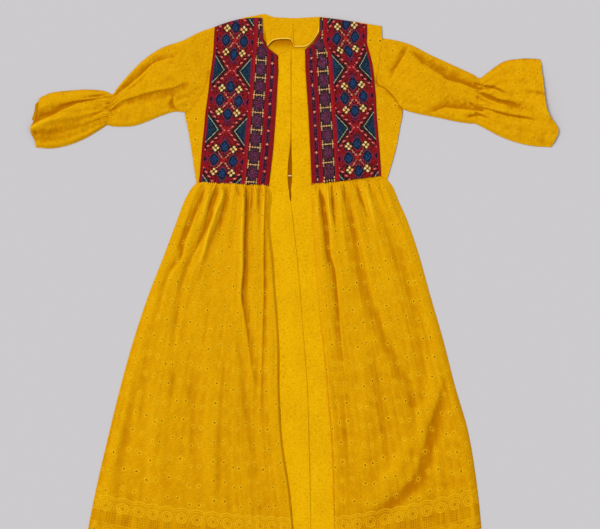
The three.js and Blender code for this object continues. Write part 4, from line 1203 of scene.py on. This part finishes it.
def sleeve(side):
    """A flat tube whose upper side carries the creases; its mouth ends in a small turned hem."""
    node = "sleeve_" + side.name
    k = np.linspace(0, len(side.sleeve) - 1, SLEEVE_ROWS)[:, None]
    even = shares(TOP_COLUMNS)
    top_w = blend(0.5 - 0.5 * np.cos(math.pi * even), even, 0.5)
    under_w = np.linspace(1, 0, UNDER_COLUMNS + 2)[1:-1]
    w = np.concatenate([top_w, under_w])[None]
    is_top = (np.arange(w.size) < TOP_COLUMNS)[None]
    x, y = sleeve_outline(side, k, w, is_top)
    top, fold = sleeve_relief(side, k, w, x, y)
    painted_shading = np.where(is_top, *sleeve_shade(side, k, w, x, y, top, fold))
    from_edge = np.minimum(w, 1 - w)
    under = 0.05 + 0.85 * (1 - smooth(0, 0.03, from_edge))
    z = np.where(is_top, CLOTH + (top - CLOTH) * smooth(0, 0.05, from_edge), under)
    to_left = side.mouth_tip[1] < 0
    x, y, z, painted_shading = turn_hem(x, y, z, painted_shading, is_top, 1 if to_left else -1)
    maps = {"cloth": grid_points((w - 0.5) * SLEEVE_GIRTH + 0 * x, lengths_down(x, y))}
    faces = grid_faces(*x.shape, to_left, around=True)
    piece = new_piece(node + "_cloth", grid_points(x, y, z), faces, maps, SLEEVE, np.clip(painted_shading, 0, 1))
    declare(piece, node)


# Embroidery: each stitch is one face of the panel's mesh, coloured by a chart of motifs. In the
# chart x and y are mm from a motif's middle, and the columns are spans in mm across the panel.

STITCH = 1.25
CHART_WIDTH = 156.0
PANEL_RISE = 1.2
PANEL_RIM = 1.3
MAIN_COLUMN = (6.3, 93.3)
TIE_COLUMN = (102.8, 129.5)
CROSS_COLUMN = (138.5, 146.0)
CLUSTER_PITCH = 135.6
CROSS_PITCH = 30.5
LOZENGE_PLACES = ((0, 31.0), (0, -31.0), (21.2, 0), (-21.2, 0))
FLOWER_PLACES = ((19.7, 26.8), (-19.7, 26.8), (19.7, -26.8), (-19.7, -26.8))
PETALS = ((0.6, 5.2, "cream"), (5.0, 0.4, "cream"), (-0.6, -5.2, "cream"), (-5.0, -0.4, "peach"))

THREADS = {
    "maroon": (96, 6, 10), "crimson": (160, 12, 28), "red": (174, 20, 22), "scarlet": (200, 36, 34),
    "magenta": (142, 14, 48), "purple": (80, 36, 78), "black": (20, 14, 20), "umber": (56, 40, 22),
    "navy": (20, 34, 76), "blue": (24, 56, 110), "teal": (15, 50, 64), "deep": (22, 44, 70),
    "steel": (36, 96, 124), "violet": (122, 78, 116), "mint": (168, 184, 156), "pink": (226, 114, 108),
    "rose": (206, 70, 84), "orange": (222, 128, 50), "peach": (240, 176, 120), "cream": (252, 228, 152),
    "gold": (204, 162, 60), "mauve": (98, 60, 84), "brown": (142, 16, 14), "sand": (228, 180, 120),
}


class Chart:
    """The colours of a panel's stitches. Each stitch has a speck, a random number from 0 to 1."""

    def __init__(self, shape, seed):
        self.rng = np.random.default_rng(seed)
        self.speck = self.rng.random(shape)
        rows, columns = np.indices(shape)
        self.parity = (rows + columns) % 2 == 0
        self.colours = np.zeros(shape + (3,))

    def paint(self, mask, thread, *specks):
        """Paints the stitches of a mask, then those of them with specks in the span of each
        further thread. A thread that is None leaves the stitches as they are."""
        for name, low, high in ((thread, 0, 1), *specks):
            if name:
                self.colours[mask & (self.speck >= low) & (self.speck < high)] = linear(THREADS[name])


def from_nearest(value, pitch):
    """Distance from the nearest whole step of pitch."""
    return (value + pitch / 2) % pitch - pitch / 2


def paint_ground(chart, inside, edge, ay):
    """The red ground, with darker steps toward the column's sides."""
    paint, parity = chart.paint, chart.parity
    paint(inside, "crimson", ("maroon", 0, 0.32), ("black", 0.69, 1), ("scarlet", 0.62, 0.70),
          ("purple", 0.70, 0.73))
    side = edge / 13 + ay / 17
    paint(inside & (side < 1.75), "red")
    paint(inside & (side < 1.75) & parity, "maroon")
    paint(inside & (side < 1.3), "crimson", ("black", 0, 0.35))
    paint(inside & (side < 0.98), "magenta")
    paint(inside & (side < 0.8), None, ("purple", 0.5, 1))
    paint(inside & (side < 0.45), "black")


def paint_cut_triangles(chart, inside, edge, rise):
    """The triangles that the column's sides cut, with a dotted lattice round them."""
    paint, parity = chart.paint, chart.parity
    cut = edge / 25 + rise / 30.8
    band = inside & (cut < 2.05)
    paint(band, "crimson", ("maroon", 0, 0.4))
    paint(band & parity, None, ("black", 0, 0.62))
    paint(band, None, ("scarlet", 0.9, 1))
    lattice = inside & (np.abs(cut - 1.53) < 0.2)
    paint(lattice, None, ("black", 0, 0.72))
    spot = np.hypot(np.abs(from_nearest(rise, 9.6)) / 2.3, (cut - 1.53) / 0.12)
    paint(lattice & (spot < 1.05), "rose")
    paint(lattice & (spot < 0.75), "pink", ("peach", 0.72, 1))
    paint(inside & (cut < 1.32), "umber", ("black", 0, 0.6), ("maroon", 0.8, 1))
    paint(inside & (cut < 1.04), "mint")
    paint(inside & (cut < 0.97), "black")
    field = inside & (cut < 0.84)
    paint(field, "deep", ("teal", 0.35, 1), ("navy", 0.78, 1), ("steel", 0.92, 1))
    paint(field & parity, None, ("black", 0, 0.4))
    paint(inside & (cut < 0.965) & (edge < 1.6), "purple")


def paint_lozenge(chart, inside, dx, dy):
    paint, parity = chart.paint, chart.parity
    form = (dx / 9.6) ** 1.45 + (dy / 13.0) ** 1.45
    paint(inside & (form < 1.34), None, ("black", 0.2, 1))
    paint(inside & (form > 1.08) & (form < 1.34) & parity, "violet")
    paint(inside & (form < 1.06), "black")
    paint(inside & (form < 0.95) & parity, None, ("navy", 0.4, 1))
    heart = inside & (form < 0.66)
    paint(heart, "navy", ("blue", 0.35, 1), ("steel", 0.86, 1))
    paint(heart & parity, None, ("black", 0, 0.5))


def paint_flower(chart, inside, dx, dy):
    """Four pale petals on a dark round ground, with a dark cross between them."""
    paint = chart.paint
    paint(inside & (np.hypot(dx, dy) < 10.4), "umber", ("black", 0, 0.6), ("red", 0.8, 1))
    for px, py, thread in PETALS:
        from_petal = np.hypot(dx - px, dy - py)
        petal = inside & (from_petal < 3.1)
        paint(petal, thread)
        # Painted shade: gold and orange specks darken each petal's rounded rim
        paint(petal & (from_petal > 2.0), None, ("gold", 0.55, 1), ("orange", 0, 0.22))
    paint(inside & (np.abs(np.abs(dx) - np.abs(dy)) < 0.9) & (np.hypot(dx, dy) < 6.5), "umber")


def paint_cluster(chart, inside, x, y):
    """Clusters of four lozenges, crossings between them and cut triangles at the column's sides."""
    paint, parity = chart.paint, chart.parity
    ax, ay = np.abs(x), np.abs(y)
    edge = (MAIN_COLUMN[1] - MAIN_COLUMN[0]) / 2 - ax
    rise = CLUSTER_PITCH / 2 - ay
    paint_ground(chart, inside, edge, ay)
    paint_cut_triangles(chart, inside, edge, rise)

    zigzag = inside & (ax / 10 + np.abs(rise - 21) / 9 < 1)
    paint(zigzag, "magenta")
    paint(zigzag & ((ax + rise) % 5.0 < 2.5), "purple")
    paint(zigzag, None, ("black", 0, 0.3))
    crossing = inside & (ax + rise < 9)
    paint(crossing, "red")
    paint(crossing & parity, None, ("maroon", 0, 0.6))
    paint(inside & (np.hypot(ax - 4.4, rise) < 1.9), "pink")
    paint(inside & (np.hypot(ax - 8.2, rise - 5.0) < 1.6), "rose")

    on_arm = inside & (np.abs(ax / 19.7 - ay / 27.5) < 0.17) & (ay < 24)
    paint(on_arm, "maroon")
    paint(on_arm & parity, "black")
    down = from_nearest(ay - 6.5, 6.2)
    along = np.abs(ax - 0.716 * (ay - down))
    link = (np.abs(along - np.abs(down)) < 0.85) & (np.maximum(along, np.abs(down)) < 2.9)
    paint(on_arm & link & (ay > 3), "peach", ("pink", 0.45, 1))
    paint(inside & (ax / 5.5 + ay / 7 < 1), "scarlet", ("maroon", 0, 0.35))
    for cx, cy in LOZENGE_PLACES:
        paint_lozenge(chart, inside, np.abs(x - cx), np.abs(y - cy))
    for cx, cy in FLOWER_PLACES:
        paint_flower(chart, inside, x - cx, y - cy)


def paint_tie(chart, inside, x, y, pitch):
    """Eight-sided medallions between ties."""
    paint, parity = chart.paint, chart.parity
    ax, ay = np.abs(x), np.abs(y)
    across, along = ax / 11.6, (pitch / 2 - ay) / 16.0
    form = np.maximum(np.maximum(across, along), (across + along) / 1.45)
    paint(inside, "black", ("umber", 0.62, 1), ("maroon", 0.86, 1))
    medallion = inside & (form < 1)
    odd = medallion & ~parity
    paint(medallion, "purple", ("maroon", 0, 0.3), ("magenta", 0.3, 0.45))
    paint(medallion & parity, None, ("black", 0, 0.93))
    grid = (np.abs(from_nearest(x, 5.0)) < 0.65) | (np.abs(from_nearest(y, 5.0)) < 0.65)
    paint(medallion & grid, None, ("mauve", 0.55, 1))
    paint(odd & (form > 0.8), None, ("umber", 0, 0.45))
    paint(odd & (form < 0.62), None, ("magenta", 0.4, 0.62))
    paint(odd & (form < 0.85), None, ("violet", 0.72, 1))
    paint(medallion & (form < 0.45) & parity, None, ("navy", 0, 0.6))
    post = inside & (np.abs(ax - 11.0) < 1.0) & (ay < 9.5)
    paint(post & ((ay % 3.75) < 2.5), "sand")
    paint(inside & (np.abs(ax - 11.8) < 1.7) & (ay < 0.9), "sand")
    paint(inside & (ay < 0.7) & (ax < 12.0), "sand")
    paint(inside & (np.abs(ax - 5.6) < 0.7) & (ay < 2.6), "sand")
    paint(inside & (ay < 1.3) & (ax < 1.3), "peach")


def paint_cross(chart, inside, x, y):
    """Small crosses on a dark ground with bars between."""
    ax, ay = np.abs(x), np.abs(y)
    chart.paint(inside, "black", ("maroon", 0.55, 1), ("magenta", 0.85, 1))
    chart.paint(inside & (ax < 2.6) & (ay > 5.0), "black", ("purple", 0.62, 1), ("mauve", 0.85, 1))
    cross = (ax / 4.0 + ay / 1.7 < 1) | (ax / 1.7 + ay / 4.4 < 1) | ((ax < 1.3) & (ay < 1.5))
    chart.paint(inside & cross, "peach", ("pink", 0.5, 1))


def stitch_colours(across, up, side):
    """Linear colours of the stitches at places across and up the panel, in mm."""
    chart = Chart(across.shape, side.panel_seed)
    everywhere = np.ones(across.shape, bool)
    chart.paint(everywhere, "crimson")
    chart.paint(across < 3.4, "brown")
    for thread, low, high in (("magenta", 97, 102.8), ("red", 98.5, 102.8), ("maroon", 133.2, 134.6)):
        chart.paint((across > low) & (across < high), thread)
    chart.paint((across > 134.6) & (across < 138.5), None, ("magenta", 0.4, 1))
    chart.paint((across > 146) & (across < 148), "magenta")
    chart.paint(across >= 148, "brown")
    chart.paint(everywhere, None, ("maroon", 0, 0.1))
    for (low, high), motif, at, pitch, more in (
            (MAIN_COLUMN, paint_cluster, side.cluster_at, CLUSTER_PITCH, ()),
            (TIE_COLUMN, paint_tie, side.tie_at, side.tie_pitch, (side.tie_pitch,)),
            (CROSS_COLUMN, paint_cross, side.cross_at, CROSS_PITCH, ())):
        inside = (across >= low) & (across <= high)
        motif(chart, inside, across - (low + high) / 2, from_nearest(up - at, pitch), *more)
    return chart.colours * (1 + 0.3 * (chart.rng.random(across.shape + (3,)) - 0.5))


def stitch_material():
    """Satin thread in the chart's colours, each stitch a small rounded bar."""
    g = Graph("stitches")
    colour = g.node("ShaderNodeVertexColor", layer_name="stitches").outputs[0]
    place = g.cloth_place("cloth")
    cell = g.vector("FRACTION", g.vector("DIVIDE", place, (STITCH, STITCH, 1)))
    bar = g.times(*(g.math("SINE", g.times(part, math.pi)) for part in g.split(cell)))
    height = g.times(g.math("POWER", g.size(bar), 0.5), 0.30)
    strands = g.noise(g.vector("MULTIPLY", place, (0.4, 3.0, 0)), 1.0, 1.0)
    height = g.times_add(strands, 0.08, height)
    # Painted shade: each stitch darker toward its edges, between the bars
    colour = g.vector("SCALE", colour)
    g.feed(colour.node.inputs["Scale"], g.step(bar, 0.0, 0.35, 0.72, 1.0))
    return g.finish(colour, height, 0.7, 0.0, (1, 1, 1, 1))


STITCHES = stitch_material()


def embroidered_panel(side):
    """The panel on the front bodice, with a face for each stitch and a red trim along the neck."""
    node = "embroidered_panel_" + side.name
    outer_rows = np.asarray(column(side.bodice, 1), float)
    fine = shares(2000)
    run = lengths_down(*(part[:, None] for part in spline(outer_rows, fine).T))[:, 0]
    rows = int(round(run[-1] / STITCH))
    columns = int(round(CHART_WIDTH / STITCH))
    v = np.interp(np.linspace(0, run[-1], rows + 1), run, fine)
    t = shares(columns + 1)[None, :, None]
    outer = spline(outer_rows, v)[:, None]
    seam = chain(column(side.bodice, 2), v)[:, None]
    points = blend(outer, seam, t)
    x = points[..., 0]
    y = points[..., 1] + shoulder_rise(v[:, None], t[..., 0], side)
    z = bodice_height(x, y, side) + PANEL_RISE

    neck_v = side.neck_row / (len(side.bodice) - 1)
    width = np.abs(seam[:, 0, 0] - outer[:, 0, 0])
    neck_width = np.interp(neck_v, v, width)
    scale = np.where(v <= neck_v, CHART_WIDTH / width, CHART_WIDTH / neck_width)[:, None]
    across = t[..., 0] * width[:, None] * scale
    up = y * math.cos(side.lean) + x * math.sin(side.lean)
    across, up = (0.25 * (a[:-1, :-1] + a[1:, :-1] + a[:-1, 1:] + a[1:, 1:]) for a in (across, up))
    colours = stitch_colours(across, up, side)

    neck = (0.5 * (v[1:] + v[:-1]) > neck_v - 0.02)[:, None] & (up < side.cluster_at + 22)
    from_neck = (1 - 0.5 * (t[:, 1:, 0] + t[:, :-1, 0])) * width[1:, None]
    for thread, reach in (("crimson", 6), ("maroon", 2.4)):
        colours[neck & (from_neck < reach)] = linear(THREADS[thread])

    stitch_grid = [index * STITCH for index in np.meshgrid(np.arange(columns + 1), np.arange(rows + 1))]
    piece = cloth_grid(node, x, y, z, {"cloth": stitch_grid}, STITCHES, PANEL_RIM)
    cells = np.pad(colours, ((1, 1), (1, 1), (0, 0)), mode="edge").reshape(-1, 3)
    corners = np.ones((len(cells) * 4, 4), np.float32)
    corners[:, :3] = np.repeat(cells, 4, axis=0)
    attribute = piece.data.color_attributes.new(name="stitches", type="FLOAT_COLOR", domain="CORNER")
    attribute.data.foreach_set("color", corners.ravel())
    declare(piece, node)


HOOK_STATIONS = 24
HOOK_SIDES = 12
HOOK_RADIUS = 1.1


def closure_hook():
    """A worked thread bar that crosses the opening."""
    start, end, middle = HOOK_PLACE
    t = shares(HOOK_STATIONS)[:, None]
    angle = math.tau * np.arange(HOOK_SIDES) / HOOK_SIDES
    radius = HOOK_RADIUS + 0.12 * np.cos(t * 40)
    x = start + (end - start) * t + 0 * angle
    y = middle + 1.2 * radius * np.cos(angle)
    z = FRONT_LEVEL + CLOTH + 0.7 + 0.9 * np.sin(math.pi * t) + radius * np.sin(angle)
    piece = new_piece("closure_bar", grid_points(x, y, z), grid_faces(*x.shape, False, around=True),
                      {"cloth": grid_points(x, y)}, HOOK_THREAD)
    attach(piece, "root")
    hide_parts("closure_hook")


# Floor, light and camera

FLOOR_REACH = 6.0
FLOOR_LEVEL = -0.0003
SUN_STRENGTH = 1.72
SUN_SPREAD = 22
SUN_DIRECTION = Vector((0.50, -0.32, -0.84))
SKY_STRENGTH = 0.57
CAMERA_HEIGHT = 4.0
CAMERA_PLACE = (12.5, 48.6)
SENSOR_WIDTH = 36
PHOTO_WIDTH_MM = 600 * 2.26


def stage():
    g = Graph("floor")
    g.feed(g.shader.inputs["Base Color"], rgba(203, 201, 204))
    g.feed(g.shader.inputs["Roughness"], 0.95)
    g.feed(g.shader.inputs["Specular IOR Level"], 0.0)
    mesh = bpy.data.meshes.new("floor")
    signs = ((-1, -1), (1, -1), (1, 1), (-1, 1))
    mesh.from_pydata([(FLOOR_REACH * x, FLOOR_REACH * y, FLOOR_LEVEL) for x, y in signs], [], [(0, 1, 2, 3)])
    mesh.materials.append(g.material)
    add_object("floor", mesh)


def lights():
    """A soft sun from the upper left and even light all round."""
    data = bpy.data.lights.new("sun", "SUN")
    data.energy = SUN_STRENGTH
    data.angle = math.radians(SUN_SPREAD)
    add_object("sun", data).rotation_euler = SUN_DIRECTION.to_track_quat("-Z", "Y").to_euler()
    world = bpy.data.worlds.new("studio")
    world.use_nodes = True
    background = world.node_tree.nodes["Background"]
    background.inputs["Color"].default_value = (1, 1, 1, 1)
    background.inputs["Strength"].default_value = SKY_STRENGTH
    bpy.context.scene.world = world


def camera():
    """Straight above, and as wide at the gown as the photo is."""
    data = bpy.data.cameras.new("camera")
    data.sensor_width = SENSOR_WIDTH
    data.lens = SENSOR_WIDTH * CAMERA_HEIGHT / (PHOTO_WIDTH_MM * MM)
    view = add_object("camera", data)
    view.location = (CAMERA_PLACE[0] * MM, CAMERA_PLACE[1] * MM, CAMERA_HEIGHT)
    bpy.context.scene.camera = view


back_bodice()
back_skirt()
for make in (facing, front_bodice, bodice_band, embroidered_panel):
    for side in SIDES:
        make(side)
closure_hook()
# The right band lies under the left one and is made first
for make, sides in ((front_skirt, SIDES), (skirt_band, (RIGHT, LEFT)), (sleeve, SIDES)):
    for side in sides:
        make(side)
stage()
lights()
camera()
bpy.context.scene.view_settings.view_transform = "Standard"
